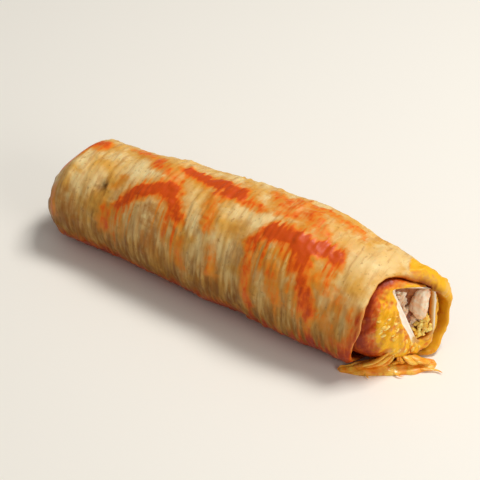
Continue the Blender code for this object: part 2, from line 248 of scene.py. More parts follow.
@dataclass
class RollShape:
    """The roll's skin, lip, groove, tucked fold and opening, as functions of place and turn."""

    far_tip: float = mm(-100.5)
    front_lip: float = mm(76.0)
    upper_lip: float = mm(83.0)
    back_lip: float = mm(102.0)
    squareness: float = 2.15
    foot_press: float = mm(1.8)
    bend: float = mm(1.4)
    seam_turn: float = math.radians(32.0)
    seam_step: float = mm(1.2)
    seam_start: float = mm(-30.0)
    seam_full: float = mm(20.0)
    dome_length: float = mm(21.0)
    dome_squareness: float = 2.6
    far_pole_height: float = mm(17.0)
    far_slant: float = mm(3.5)
    tuck_depth: float = mm(3.5)
    tuck_reach: float = 0.4
    tuck_pleats: int = 5
    tuck_pleat_height: float = mm(0.9)
    lip_wall: float = mm(2.4)
    hood_extra_wall: float = mm(1.2)
    hood_droop: float = mm(3.6)
    lip_rounding: float = mm(1.6)
    front_groove_depth: float = mm(6.0)
    back_groove_depth: float = mm(14.0)
    front_groove_gap: float = mm(2.4)
    back_groove_gap: float = mm(1.3)
    opening_height: float = mm(27.5)
    opening_offset: float = mm(5.0)
    opening_place: float = mm(95.1)
    opening_slope_y: float = 0.61
    opening_slope_z: float = -0.20
    opening_corner_power: float = 7.0
    fold_squareness: float = 2.2
    fold_foot_squareness: float = 4.2
    wall: float = mm(4.4)
    fold_wall: float = mm(2.3)
    stations: tuple[tuple[float, float, float], ...] = (
        (-100.5, 23.6, 23.6),
        (-82.0, 24.8, 24.6),
        (-64.0, 24.9, 24.8),
        (-31.0, 27.0, 26.6),
        (8.0, 28.3, 27.9),
        (42.0, 28.9, 28.4),
        (72.0, 26.8, 26.0),
        (90.0, 25.0, 24.2),
        (104.0, 24.0, 23.2),
    )
    opening_sides: tuple[tuple[float, float], ...] = (
        (math.radians(20.0), mm(10.2)),
        (math.radians(98.0), mm(5.9)),
        (math.radians(168.0), mm(15.0)),
        (math.radians(-103.0), mm(6.7)),
    )
    lumps: tuple[Lump, ...] = (
        lump(-84, -58, 11, 34, 1.2),
        lump(-64, -40, 6, 14, -0.9),
        lump(-58, -40, 8, 60, -0.9),
        lump(-38, 15, 12, 40, 0.9),
        lump(14, -60, 7, 50, -1.0),
        lump(40, -20, 15, 45, 0.8),
        lump(-10, 120, 18, 35, 0.9),
        lump(55, 105, 14, 40, -0.9),
    )
    details: tuple[Lump, ...] = (
        lump(-64, -40, 2.4, 7, -2.2),
        lump(-64, -39, 6.5, 20, 0.7),
        lump(27, -86, 1.8, 26, -0.9),
        lump(44, -92, 2.2, 24, -0.5),
        lump(-22, -90, 2.0, 30, -0.6),
        lump(-52, -8, 8, 22, 0.6),
    )

    def girth(self, place: float) -> tuple[float, float]:
        """Half width and half height of the roll at a place along it.

        Args:
            place: Place along the roll.

        Returns:
            Half width and half height.
        """
        at = place / MM
        last = len(self.stations) - 2
        for index, (low, high) in enumerate(zip(self.stations, self.stations[1:])):
            if at <= high[0] or index == last:
                share = ease(low[0], high[0], at)
                return mm(mix(low[1], high[1], share)), mm(mix(low[2], high[2], share))
        raise ValueError(place)

    def swelling(self, place: float, turn: float) -> float:
        """How far the skin stands proud: lumps, the overlapping layer and fine relief.

        Args:
            place: Place along the roll.
            turn: Turn round the roll.

        Returns:
            Height above the plain section.
        """
        height = sum(item.at(place, turn) for item in self.lumps)
        seam = self.seam_turn + math.radians(2.5) * noise.noise(Vector((place / mm(14.0), 3.1, 0.0)))
        lap = ((turn - seam) / math.tau) % 1.0
        height += self.seam_step * lap * ease(self.seam_start, self.seam_full, place)
        return height

    def relief(self, place: float, turn: float) -> float:
        """Fine relief of the baked skin: dents, wrinkles round the roll, blisters.

        Args:
            place: Place along the roll.
            turn: Turn round the roll.

        Returns:
            Height above the smooth skin.
        """
        across = mm(SKIN_RADIUS_MM) * math.sin(turn)
        up = mm(SKIN_RADIUS_MM) * math.cos(turn)
        spot = Vector((place, across, up))
        soft = noise.noise(spot / mm(13.0))
        bulge = noise.noise(spot / mm(24.0) + Vector((5.0, 3.0, 1.0)))
        wrinkle = self.stretched(place, across, up, mm(3.0), mm(22.0), 11.0)
        crease = self.stretched(place, across, up, mm(1.3), mm(11.0), 37.0)
        crinkle = noise.noise(spot / mm(2.3) + Vector((9.0, 2.0, 6.0)))
        patches = ease(-0.3, 0.3, noise.noise(spot / mm(16.0) + Vector((7.0, 1.0, 4.0))))
        blister = max(noise.noise(spot / mm(5.0) + Vector((2.0, 9.0, 5.0))) - 0.22, 0.0)
        stripes = self.stretched_along(place, across, up, mm(30.0), mm(2.0), 5.0)
        stripe_zone = ease(mm(4.0), mm(24.0), place) * (1.0 - ease(mm(70.0), mm(84.0), place))
        stripe_zone *= ease(math.radians(-16.0), math.radians(0.0), turn)
        stripe_zone *= 1.0 - ease(math.radians(34.0), math.radians(50.0), turn)
        height = mm(0.6) * soft + mm(0.8) * bulge
        wrinkle_height = mm(0.5) * (1.0 - 2.2 * abs(wrinkle)) - mm(0.25)
        height += wrinkle_height * mix(0.35, 1.0, patches) * (1.0 - 0.7 * stripe_zone)
        height += mm(0.22) * crease * mix(0.4, 1.0, patches) * (1.0 - 0.6 * stripe_zone)
        height += mm(0.2) * crinkle + mm(1.3) * blister
        height += mm(0.75) * stripes * stripe_zone
        height -= mm(1.0) * ease(0.0, mm(0.9), place - self.layer_end(turn))
        height += sum(item.at(place, turn) for item in self.details)
        return height

    def layer_end(self, turn: float) -> float:
        """Place where the outermost layer stops short of the hood, baring the layer below.

        Args:
            turn: Turn about the roll, in radians.

        Returns:
            Place along the roll, in metres.
        """
        plain = mix(mm(93.0), mm(84.5), ease(math.radians(-8.0), math.radians(24.0), wrapped(turn)))
        if math.cos(turn) < 0.0 and math.sin(turn) < 0.0:
            plain = mm(120.0)
        ragged = noise.noise(Vector((math.sin(turn), math.cos(turn), 14.0)) * 4.0)
        return plain + mm(1.3) * ragged

    @staticmethod
    def stretched(place: float, across: float, up: float, fine: float, long: float, seed: float) -> float:
        """Noise drawn out round the roll, fine along it."""
        return noise.noise(Vector((place / fine + seed, across / long, up / long)))

    @staticmethod
    def stretched_along(place: float, across: float, up: float, long: float, fine: float, seed: float) -> float:
        """Noise drawn out along the roll, fine round it."""
        return noise.noise(Vector((place / long + seed, across / fine, up / fine)))

    def middle(self, place: float) -> Vector:
        """Middle of the roll at a place along it."""
        half_height = self.girth(place)[1]
        return Vector((place, self.bow(place), half_height - self.foot_press))

    def bow(self, place: float) -> float:
        """Sideways bow of the roll at a place along it."""
        return self.bend * math.cos(math.pi * place / (self.back_lip - self.far_tip))

    def skin(self, place: float, turn: float, fine: float = 1.0) -> Vector:
        """Point of the outer skin, pressed flat where it rests.

        Args:
            place: Place along the roll.
            turn: Turn round the roll.
            fine: Share of the fine relief.

        Returns:
            The point.
        """
        half_width, half_height = self.girth(place)
        proud = self.swelling(place, turn)
        if fine > 0.0:
            proud += fine * self.relief(place, turn)
        across = (half_width + proud) * signed_power(math.sin(turn), 2.0 / self.squareness)
        up = (half_height + proud) * signed_power(math.cos(turn), 2.0 / self.squareness)
        return Vector((place, across + self.bow(place), max(half_height - self.foot_press + up, 0.0)))

    def below_skin(self, place: float, turn: float, depth: float, fine: float = 1.0) -> Vector:
        """Point at a depth below the skin, measured towards the middle of the roll."""
        return inset_towards(self.skin(place, turn, fine), self.middle(place), depth)

    def dome(self, share: float, turn: float, inset: float) -> Vector:
        """Point of the shut far end: share runs from 0 at its pole to 1 where the roll begins.

        Args:
            share: Share of the way from the pole.
            turn: Turn round the roll.
            inset: Depth below the outer face.

        Returns:
            The point.
        """
        angle = share * math.pi / 2.0
        spread = math.sin(angle) ** (2.0 / self.dome_squareness)
        flat = max(math.cos(angle), 0.0) ** (2.0 / self.dome_squareness)
        place = self.far_tip + self.dome_length * (1.0 - flat)
        pole = Vector((place, 0.0, self.far_pole_height))
        point = pole + (self.skin(place, turn, ease(0.2, 0.9, share)) - pole) * spread
        leaning = max(point.z - self.far_pole_height, 0.0) / self.far_pole_height
        point.x += self.tuck(spread, turn) + self.far_slant * leaning * math.sin(math.pi * share)
        return inset_towards(point, self.middle(self.far_tip + self.dome_length), inset)

    def tuck(self, spread: float, turn: float) -> float:
        """Dimple and radiating pleats where the far end is tucked in.

        Args:
            spread: How far out from the dimple, from 0 to 1.
            turn: Turn about the roll, in radians.

        Returns:
            Depth of the tuck, in metres, less than 0 on a pleat's crest.
        """
        dimple = self.tuck_depth * (1.0 - ease(0.0, self.tuck_reach, spread))
        window = ease(0.0, self.tuck_reach, spread) * (1.0 - ease(self.tuck_reach, 1.0, spread))
        wander = 0.5 * noise.noise(Vector((math.sin(turn) * 2.0, math.cos(turn) * 2.0, spread * 2.0)))
        return dimple + self.tuck_pleat_height * math.cos(self.tuck_pleats * (turn + wander)) * window

    def hood(self, turn: float) -> float:
        """0 on the front, where the outer layer ends early, and 1 at the back, where it runs on."""
        if math.cos(turn) > 0.0:
            return ease(math.radians(-25.0), math.radians(50.0), wrapped(turn))
        return 1.0 - ease(math.radians(150.0), math.radians(205.0), turn % math.tau)

    def lip(self, turn: float) -> float:
        """Place along the roll where the outer layer ends.

        Args:
            turn: Turn about the roll, in radians.

        Returns:
            Place along the roll, in metres.
        """
        slant = ease(math.radians(-150.0), math.radians(-65.0), wrapped(turn))
        if math.cos(turn) < 0.0 and math.sin(turn) > 0.0:
            slant = 0.0
        plain = mix(mix(self.front_lip, self.upper_lip, slant), self.back_lip, self.hood(turn))
        ragged = noise.noise(Vector((math.sin(turn), math.cos(turn), 4.0)) * 3.2)
        fine = noise.noise(Vector((math.sin(turn), math.cos(turn), 9.0)) * 9.0)
        return plain + mm(0.9) * ragged + mm(0.35) * fine - mm(0.6)

    def groove(self, turn: float) -> float:
        """Place of the bottom of the groove between the lip and the fold."""
        depth = mix(self.front_groove_depth, self.back_groove_depth, self.hood(turn))
        return self.lip(turn) - depth

    def edge_wall(self, turn: float) -> float:
        """Thickness of the outer layer at its lip.

        Args:
            turn: Turn about the roll, in radians.

        Returns:
            Thickness, in metres.
        """
        facing = wrapped(turn)
        past_top = ease(math.radians(55.0), math.radians(95.0), facing)
        droop = ease(math.radians(-12.0), math.radians(16.0), facing) * (1.0 - past_top)
        return self.lip_wall + self.hood_extra_wall * self.hood(turn) + self.hood_droop * droop

    def opening(self, turn: float) -> Vector:
        """Point on the edge of the four-sided opening, on the fold's outer face.

        Args:
            turn: Turn about the opening's middle, in radians.

        Returns:
            The point.
        """
        reach = 0.0
        for facing, distance in self.opening_sides:
            reach += max(math.cos(turn - facing) / distance, 0.0) ** self.opening_corner_power
        radius = reach ** (-1.0 / self.opening_corner_power)
        across = radius * math.sin(turn)
        up = radius * math.cos(turn)
        place = self.opening_place + self.opening_slope_y * across + self.opening_slope_z * up
        return Vector((place, self.opening_offset + across, self.opening_height + up))

    def fold(self, turn: float, share: float, proud: float = 0.0) -> Vector:
        """Point of the tucked fold: share runs from 1 at its root in the groove to 0 at the opening.

        Args:
            turn: Turn round the opening.
            share: Share of the way from the opening to the root.
            proud: Height above the fold's plain face.

        Returns:
            The point.
        """
        gap = mix(self.front_groove_gap, self.back_groove_gap, self.hood(turn))
        root = self.below_skin(self.groove(turn), turn, self.edge_wall(turn) + gap, 0.0)
        rim = self.opening(turn)
        low = ease(math.radians(100.0), math.radians(170.0), abs(wrapped(turn)))
        power = mix(self.fold_squareness, self.fold_foot_squareness, low)
        rise = (1.0 - min(share, 1.0) ** power) ** (1.0 / power)
        point = root + (rim - root) * (1.0 - share)
        point.x = mix(root.x, rim.x, rise)
        if proud == 0.0:
            return point
        behind = self.middle(self.front_lip - 2.0 * self.front_groove_depth)
        return inset_towards(point, behind, -proud)

    def fold_inside(self, turn: float, share: float, depth: float) -> Vector:
        """Point below the fold's outer face."""
        behind = self.middle(self.front_lip - 2.0 * self.front_groove_depth)
        return inset_towards(self.fold(turn, share), behind, depth)


@dataclass
class Coats:
    """Amounts of each coat, of painted shade and of painted highlight at points of the skin and the fold.

    Attributes:
        shape: The roll.
        warp: How far stain outlines wander, in millimetres.
        streak_width: Width of the runs, in millimetres.
        fan_centre: Where the fold's pleats meet, across and up, in millimetres.
        fan: Direction of each pleat from there in degrees from straight down, its half width and its paleness.
    """

    shape: RollShape
    warp: float = 2.2
    streak_width: float = 1.5
    fan_centre: tuple[float, float] = (-5.6, 38.5)
    fan: tuple[tuple[float, float, float], ...] = (
        (-1.0, 3.2, 0.75),
        (-23.0, 3.4, 0.7),
        (-48.0, 4.0, 0.25),
        (-70.0, 5.0, 0.15),
    )

    def on_skin(self, place: float, turn: float, height: float) -> dict[CoatKind, float]:
        """Coats at a point of the outer skin.

        Args:
            place: Place along the roll, in metres.
            turn: Turn round the roll.
            height: Height above the surface that the roll rests on.

        Returns:
            Amount of each coat.
        """
        at = place / MM
        facing = math.degrees(wrapped(turn))
        arc = facing * MM_PER_DEGREE
        around = Vector((at, SKIN_RADIUS_MM * math.sin(turn), SKIN_RADIUS_MM * math.cos(turn)))
        streak = noise.noise(Vector((at / self.streak_width, around.y / 26.0, around.z / 26.0)))
        at += self.warp * noise.noise(around / 6.5) + 1.1 * noise.noise(around / 2.1)
        arc += self.warp * noise.noise(around / 7.5 + Vector((5.0, 2.0, 8.0)))
        arc += 1.3 * noise.noise(around / 2.4 + Vector((1.0, 6.0, 3.0))) + 2.4 * streak
        amounts = {kind: 0.0 for kind in CoatKind}
        for stain in STAINS:
            amount = self.stain_amount(stain, at, arc, streak)
            amounts[stain.kind] = max(amounts[stain.kind], amount) + 0.25 * min(amounts[stain.kind], amount)
        amounts[CoatKind.PALE_AND_HIGHLIGHT] = 0.62 * min(amounts[CoatKind.PALE_AND_HIGHLIGHT], 1.0)
        foot = 1.0 - ease(mm(4.0), mm(17.0) + mm(8.0) * streak, height)
        # Soaking mixed with painted shade, growing towards the foot of the lower flank.
        amounts[CoatKind.SOAK_AND_SHADE] = min(1.35 * (1.0 - ease(mm(12.0), mm(50.0), height)), 1.0)
        amounts[CoatKind.SAUCE] += 0.9 * foot
        # Painted shade mixed with soaked sauce, deepening towards the foot.
        low = 0.9 * (1.0 - ease(mm(8.0), mm(33.0) + mm(10.0) * streak, height))
        amounts[CoatKind.DARK] = max(amounts[CoatKind.DARK], low)
        # Painted shade of the recess behind the front lip: a saucy orange-brown band that darkens to deep red at
        # the edge.
        lip = (self.shape.lip(turn) - place) / MM
        front = ease(-46.0, -66.0, facing) if facing < 0.0 else 0.0
        near = (1.0 - ease(0.5, 9.0 + 5.0 * streak, lip)) * front
        amounts[CoatKind.SAUCE] += 0.75 * near
        amounts[CoatKind.DARK] = max(amounts[CoatKind.DARK], 0.9 * (1.0 - ease(0.0, 5.0, lip)) * front)
        lower = ease(22.0, 66.0, at) * (1.0 - ease(mm(9.0), mm(25.0), height)) * front
        amounts[CoatKind.SAUCE] += 0.55 * lower * ease(-0.5, 0.4, streak)
        bared = ease(0.0, mm(0.8), place - self.shape.layer_end(turn))
        for kind in (CoatKind.SAUCE, CoatKind.PALE_AND_HIGHLIGHT, CoatKind.SOAK_AND_SHADE, CoatKind.TOAST):
            amounts[kind] *= 1.0 - bared
        amounts[CoatKind.CHEESE] = bared * (0.95 + 0.5 * noise.noise(around / 3.0))
        amounts[CoatKind.SAUCE] += bared * (0.5 + 0.4 * noise.noise(around / 4.0))
        return amounts

    @staticmethod
    def stain_amount(stain: Stain, at: float, arc: float, streak: float) -> float:
        """Amount that one stain leaves at a point of the unrolled skin.

        The edge towards the top of the roll is crisp and the edge towards its foot is feathered.

        Args:
            stain: The stain.
            at: Place in millimetres.
            arc: Distance round the skin from the top, in millimetres.
            streak: Noise that splits the runs, about -1 to 1.

        Returns:
            The amount.
        """
        begin = Vector((stain.start[0], stain.start[1] * MM_PER_DEGREE))
        finish = Vector((stain.end[0], stain.end[1] * MM_PER_DEGREE))
        reach = stain.radius + 8.0
        if at < min(begin.x, finish.x) - reach or at > max(begin.x, finish.x) + reach:
            return 0.0
        line = finish - begin
        share = min(max((Vector((at, arc)) - begin).dot(line) / max(line.length_squared, 1e-6), 0.0), 1.0)
        distance = (Vector((at, arc)) - begin - line * share).length
        down = -1.0 if begin.y + finish.y < 40.0 * MM_PER_DEGREE else 1.0
        along = min(max((at - begin.x) / line.x, 0.0), 1.0) if abs(line.x) > 0.5 else 0.5
        drop = (arc - begin.y - line.y * along) * down
        feather = 4.2 if drop > 0.0 else 1.6
        amount = stain.strength * (1.0 - ease(0.2 * stain.radius, 1.2 * stain.radius + feather, distance))
        if stain.kind is CoatKind.SAUCE:
            amount = max(amount, 0.3 * stain.strength * (1.0 - ease(0.0, stain.radius + 8.0, distance)))
        if stain.run > 0.0 and 0.0 < drop < stain.run:
            sideways = max(abs(at - begin.x - line.x * along) - 0.3 * stain.radius, 0.0)
            fade = (1.0 - drop / stain.run) ** 0.5 * (1.0 - ease(0.0, stain.radius, sideways))
            amount = max(amount, stain.strength * 0.85 * fade * ease(-0.5, 0.3, streak))
        return amount

    def pleat(self, point: Vector) -> tuple[float, float]:
        """Height share and paleness of the fanned pleats at a point of the fold.

        Args:
            point: The point.

        Returns:
            Height share, 0 to 1, and paleness, 0 to 1.
        """
        across = point.y / MM - self.fan_centre[0]
        down = self.fan_centre[1] - point.z / MM
        reach = math.hypot(across, down)
        if down < 0.0:
            return 0.0, 0.0
        facing = math.degrees(math.atan2(across, down)) + 3.0 * noise.noise(point / mm(7.0))
        height, pale = 0.0, 0.0
        window = ease(3.0, 8.0, reach) * (1.0 - ease(23.0, 30.0, reach))
        for direction, width, paleness in self.fan:
            near = (1.0 - ease(0.3, 1.3, abs(facing - direction) / width)) * window
            height = max(height, near)
            pale = max(pale, near * paleness)
        return height, pale

    def on_fold(self, point: Vector, turn: float, share: float) -> dict[CoatKind, float]:
        """Coats at a point of the tucked fold.

        Args:
            point: The point.
            turn: Turn round the opening.
            share: 1 at the fold's root and 0 at the opening.

        Returns:
            Amount of each coat.
        """
        place = point / MM
        grain = noise.noise(place / 3.4)
        fine = noise.noise(place / 1.3 + Vector((4.0, 4.0, 4.0)))
        facing = math.degrees(wrapped(turn))
        edge = (point - self.shape.opening(turn)).length / MM
        left = ease(-176.0, -165.0, facing) * (1.0 - ease(-62.0, -48.0, facing))
        rim_width = mix(1.1, 3.4, left) * (1.0 + 0.25 * grain)
        rim = 1.0 - ease(0.75 * rim_width, rim_width + 0.5, edge)
        rim *= mix(1.0, 0.35, ease(150.0, 175.0, abs(facing)))
        pleat_pale = self.pleat(point)[1]
        root = ease(0.66, 0.97, share)
        foot = 1.0 - ease(mm(2.0), mm(10.0), point.z)
        high = ease(mm(30.0), mm(42.0), point.z) * ease(0.25, 0.6, share)
        amounts = {kind: 0.0 for kind in CoatKind}
        amounts[CoatKind.PALE_AND_HIGHLIGHT] = max(rim, 0.75 * pleat_pale * (0.8 + 0.6 * fine))
        bare = 1.0 - rim
        amounts[CoatKind.CHEESE] = max(0.85 + 0.8 * grain - 1.1 * root - 0.55 * foot - 0.45 * high, 0.0) * bare
        amounts[CoatKind.SAUCE] = (0.42 + 0.3 * fine + 0.5 * root + 0.5 * foot + 0.15 * high) * bare
        # Painted shade at the fold's root in the groove, and darker towards its foot.
        amounts[CoatKind.DARK] = max(root, 0.45 * foot) * bare
        return amounts

    def inside_lip(self, point: Vector, depth_share: float) -> dict[CoatKind, float]:
        """Coats on the lip's edge and its inner face, where sauce gathers, with painted shade deepening further in
        towards the groove.

        Args:
            point: Point on the lip.
            depth_share: How far in through the layer, from 0 to 1.

        Returns:
            Amount of each coat.
        """
        fine = noise.noise(point / mm(2.5))
        amounts = {kind: 0.0 for kind in CoatKind}
        amounts[CoatKind.SAUCE] = mix(0.35, 0.85, ease(0.2, 0.9, depth_share)) + 0.2 * fine
        amounts[CoatKind.DARK] = ease(0.35, 1.0, depth_share)
        return amounts


def grid_body(
    name: str, rows: Sequence[Sequence[Vector]], coats: Sequence[Sequence[dict]] | None = None,
) -> bpy.types.Object:
    """Closed body from a grid that is bent round into rings and drawn together at both ends.

    Args:
        name: Name of the piece.
        rows: Points of each ring, in order; the first and last ring close to poles.
        coats: Amounts of each coat at each point, or None.

    Returns:
        The object, linked to the scene.
    """
    columns = len(rows[0])
    last_row = len(rows) - 1
    half = 0.5
    work = bmesh.new()
    bmesh.ops.create_grid(work, x_segments=columns, y_segments=last_row, size=half)
    layers = {}
    if coats is not None:
        layers = {kind: work.verts.layers.float.new(kind.value) for kind in CoatKind}
    for vertex in work.verts:
        column = round((vertex.co.x + half) * columns) % columns
        row = round((vertex.co.y + half) * last_row)
        vertex.co = rows[row][column]
        for kind, layer in layers.items():
            vertex[layer] = coats[row][column].get(kind, 0.0)
    bmesh.ops.remove_doubles(work, verts=work.verts, dist=mm(0.0008))
    bmesh.ops.recalc_face_normals(work, faces=work.faces)
    return finished_object(name, work)


def finished_object(name: str, work: bmesh.types.BMesh) -> bpy.types.Object:
    """Smooth-shaded object from a finished bmesh, which is freed.

    Args:
        name: Name of the object.
        work: The bmesh that holds its mesh.

    Returns:
        The new object.
    """
    mesh = bpy.data.meshes.new(name)
    for face in work.faces:
        face.smooth = True
    work.to_mesh(mesh)
    work.free()
    piece = bpy.data.objects.new(name, mesh)
    bpy.context.scene.collection.objects.link(piece)
    return piece


def turns(columns: int) -> list[float]:
    """Evenly spaced turns, from minus a half turn."""
    return [math.tau * index / columns - math.pi for index in range(columns)]


def shares(count: int) -> list[float]:
    """Shares from just above 0 to 1."""
    return [(index + 1) / count for index in range(count)]


class NodeCanvas:
    """Adds nodes to a shader tree and wires them up."""

    def __init__(self, tree: bpy.types.NodeTree) -> None:
        """Draw on a tree.

        Args:
            tree: A material's or a group's node tree.
        """
        self.tree = tree
        self.column = 0

    def add(self, kind: str, **values: object) -> bpy.types.Node:
        """New node with some of its properties set.

        Args:
            kind: Type of the node.
            values: Properties to set, by name.

        Returns:
            The new node.
        """
        node = self.tree.nodes.new(kind)
        node.location = (-1800 + 40 * self.column, -60 * (self.column % 12))
        self.column += 1
        for key, value in values.items():
            setattr(node, key, value)
        return node

    def feed(self, socket: bpy.types.NodeSocket, value: object) -> None:
        """Wire a socket to another socket, or set its value.

        Args:
            socket: The input socket.
            value: A socket, a number or a colour.
        """
        if isinstance(value, bpy.types.NodeSocket):
            self.tree.links.new(value, socket)
        elif isinstance(value, tuple) and len(value) == 3 and socket.type == "RGBA":
            socket.default_value = (*value, 1.0)
        else:
            socket.default_value = value

    def place(self) -> bpy.types.NodeSocket:
        """Object coordinates."""
        return self.add("ShaderNodeTexCoord").outputs["Object"]

    def stretch(self, vector: bpy.types.NodeSocket, scale: tuple[float, float, float]) -> bpy.types.NodeSocket:
        """Coordinates scaled along each axis.

        Args:
            vector: Coordinates to scale.
            scale: Factor along each axis.

        Returns:
            Output socket.
        """
        node = self.add("ShaderNodeMapping")
        self.feed(node.inputs["Vector"], vector)
        node.inputs["Scale"].default_value = scale
        return node.outputs["Vector"]

    def noise(
        self, vector: bpy.types.NodeSocket, scale: object, detail: float = 3.0, distortion: float = 0.0,
    ) -> bpy.types.NodeSocket:
        """Value of a noise texture, about 0.3 to 0.7.

        Args:
            vector: Coordinates.
            scale: Scale of the noise.
            detail: Octaves.
            distortion: Distortion.

        Returns:
            Output socket.
        """
        node = self.add("ShaderNodeTexNoise")
        self.feed(node.inputs["Vector"], vector)
        self.feed(node.inputs["Scale"], scale)
        node.inputs["Detail"].default_value = detail
        node.inputs["Distortion"].default_value = distortion
        return node.outputs["Fac"]

    def attribute(self, name: str) -> bpy.types.NodeSocket:
        """Value of a mesh attribute."""
        return self.add("ShaderNodeAttribute", attribute_name=name).outputs["Fac"]

    def calc(
        self, operation: str, first: object, second: object = 0.0, third: object = 0.0,
    ) -> bpy.types.NodeSocket:
        """Result of a Math node.

        Args:
            operation: Name of the operation.
            first: Value or socket.
            second: Value or socket.
            third: Value or socket.

        Returns:
            Output socket.
        """
        node = self.add("ShaderNodeMath", operation=operation)
        for socket, value in zip(node.inputs, (first, second, third)):
            self.feed(socket, value)
        return node.outputs["Value"]

    def spread(
        self, value: object, low: object, high: object, to_low: object = 0.0, to_high: object = 1.0,
    ) -> bpy.types.NodeSocket:
        """Value eased from one range to another.

        Args:
            value: Value to ease.
            low: Start of its range.
            high: End of its range.
            to_low: Result at the start.
            to_high: Result at the end.

        Returns:
            Output socket.
        """
        node = self.add("ShaderNodeMapRange", interpolation_type="SMOOTHSTEP")
        names = ("Value", "From Min", "From Max", "To Min", "To Max")
        for name, item in zip(names, (value, low, high, to_low, to_high)):
            self.feed(node.inputs[name], item)
        return node.outputs["Result"]

    def blend(self, share: object, first: object, second: object) -> bpy.types.NodeSocket:
        """Colour at a share of the way from first to second.

        Args:
            share: Share of the second colour.
            first: First colour.
            second: Second colour.

        Returns:
            Output socket.
        """
        node = self.add("ShaderNodeMix", data_type="RGBA")
        self.feed(node.inputs["Factor"], share)
        self.feed(node.inputs["A"] if node.inputs["A"].type == "RGBA" else node.inputs[6], first)
        self.feed(node.inputs["B"] if node.inputs["B"].type == "RGBA" else node.inputs[7], second)
        return node.outputs[2]

    def ramp(self, value: object, stops: Iterable[tuple[float, Colour]]) -> bpy.types.NodeSocket:
        """Colour from a ramp with the given stops.

        Args:
            value: Place on the ramp.
            stops: Place and colour of each stop.

        Returns:
            Output socket.
        """
        node = self.add("ShaderNodeValToRGB")
        elements = node.color_ramp.elements
        while len(elements) > 1:
            elements.remove(elements[-1])
        for index, (position, colour) in enumerate(stops):
            element = elements[0] if index == 0 else elements.new(position)
            element.position = position
            element.color = (*colour, 1.0)
        self.feed(node.inputs["Fac"], value)
        return node.outputs["Color"]


class Effects:
    """Shader groups that several finishes share, each built once."""

    def __init__(self) -> None:
        """Build the groups."""
        self.gloss = self.build_gloss()
        self.grain = self.build_grain()

    @staticmethod
    def new_group(
        name: str, inputs: Sequence[tuple[str, str, object]], outputs: Sequence[tuple[str, str]],
    ) -> tuple:
        """Empty group with named sockets.

        Args:
            name: Name of the group.
            inputs: Name, socket type and default of each input.
            outputs: Name and socket type of each output.

        Returns:
            The group, its canvas, its input node and its output node.
        """
        group = bpy.data.node_groups.new(name, "ShaderNodeTree")
        for label, kind, default in inputs:
            socket = group.interface.new_socket(name=label, in_out="INPUT", socket_type=kind)
            socket.default_value = default
        for label, kind in outputs:
            group.interface.new_socket(name=label, in_out="OUTPUT", socket_type=kind)
        canvas = NodeCanvas(group)
        return group, canvas, canvas.add("NodeGroupInput"), canvas.add("NodeGroupOutput")

    def build_gloss(self) -> bpy.types.NodeTree:
        """Soft, uneven gloss of moist food: a roughness that wanders between two values.

        Returns:
            The node group.
        """
        group, canvas, source, sink = self.new_group(
            "uneven_gloss",
            (("Wet", "NodeSocketFloat", 0.3), ("Dry", "NodeSocketFloat", 0.6), ("Scale", "NodeSocketFloat", 180.0)),
            (("Roughness", "NodeSocketFloat"),),
        )
        patch = canvas.noise(canvas.place(), source.outputs["Scale"], 3.0)
        level = canvas.spread(patch, 0.35, 0.65, source.outputs["Wet"], source.outputs["Dry"])
        canvas.feed(sink.inputs["Roughness"], level)
        return group

    def build_grain(self) -> bpy.types.NodeTree:
        """Small relief and a matching colour mask, stretched along the axes by Stretch.

        Returns:
            The node group.
        """
        group, canvas, source, sink = self.new_group(
            "food_grain",
            (("Stretch", "NodeSocketVector", (1.0, 1.0, 1.0)), ("Scale", "NodeSocketFloat", 300.0)),
            (("Height", "NodeSocketFloat"), ("Mask", "NodeSocketFloat")),
        )
        scaled = canvas.add("ShaderNodeVectorMath", operation="MULTIPLY")
        canvas.feed(scaled.inputs[0], canvas.place())
        canvas.feed(scaled.inputs[1], source.outputs["Stretch"])
        coarse = canvas.noise(scaled.outputs["Vector"], source.outputs["Scale"], 4.0, 0.3)
        canvas.feed(sink.inputs["Height"], coarse)
        canvas.feed(sink.inputs["Mask"], canvas.spread(coarse, 0.38, 0.62))
        return group

    def use(self, canvas: NodeCanvas, group: bpy.types.NodeTree, **values: object) -> bpy.types.Node:
        """Place a group in a material with its own values.

        Args:
            canvas: The material's canvas.
            group: The group to place.
            values: Value or socket of each input, by name.

        Returns:
            The new node.
        """
        node = canvas.add("ShaderNodeGroup", node_tree=group)
        for name, value in values.items():
            canvas.feed(node.inputs[name], value)
        return node


def new_material(name: str) -> tuple[bpy.types.Material, bpy.types.Node, NodeCanvas]:
    """Material with a bare Principled shader.

    Args:
        name: Name of the material.

    Returns:
        The material, its shader node and a canvas on its tree.
    """
    material = bpy.data.materials.new(name)
    material.use_nodes = True
    shader = material.node_tree.nodes["Principled BSDF"]
    return material, shader, NodeCanvas(material.node_tree)


@dataclass(frozen=True)
class Softness:
    """Light that soaks into food: weight and depth of subsurface scattering."""

    weight: float = 0.12
    depth: float = mm(1.6)
    tint: Colour = (1.0, 0.55, 0.3)

    def apply(self, shader: bpy.types.Node) -> None:
        """Set the shader's own sockets."""
        shader.inputs["Subsurface Weight"].default_value = self.weight
        shader.inputs["Subsurface Scale"].default_value = self.depth
        shader.inputs["Subsurface Radius"].default_value = self.tint


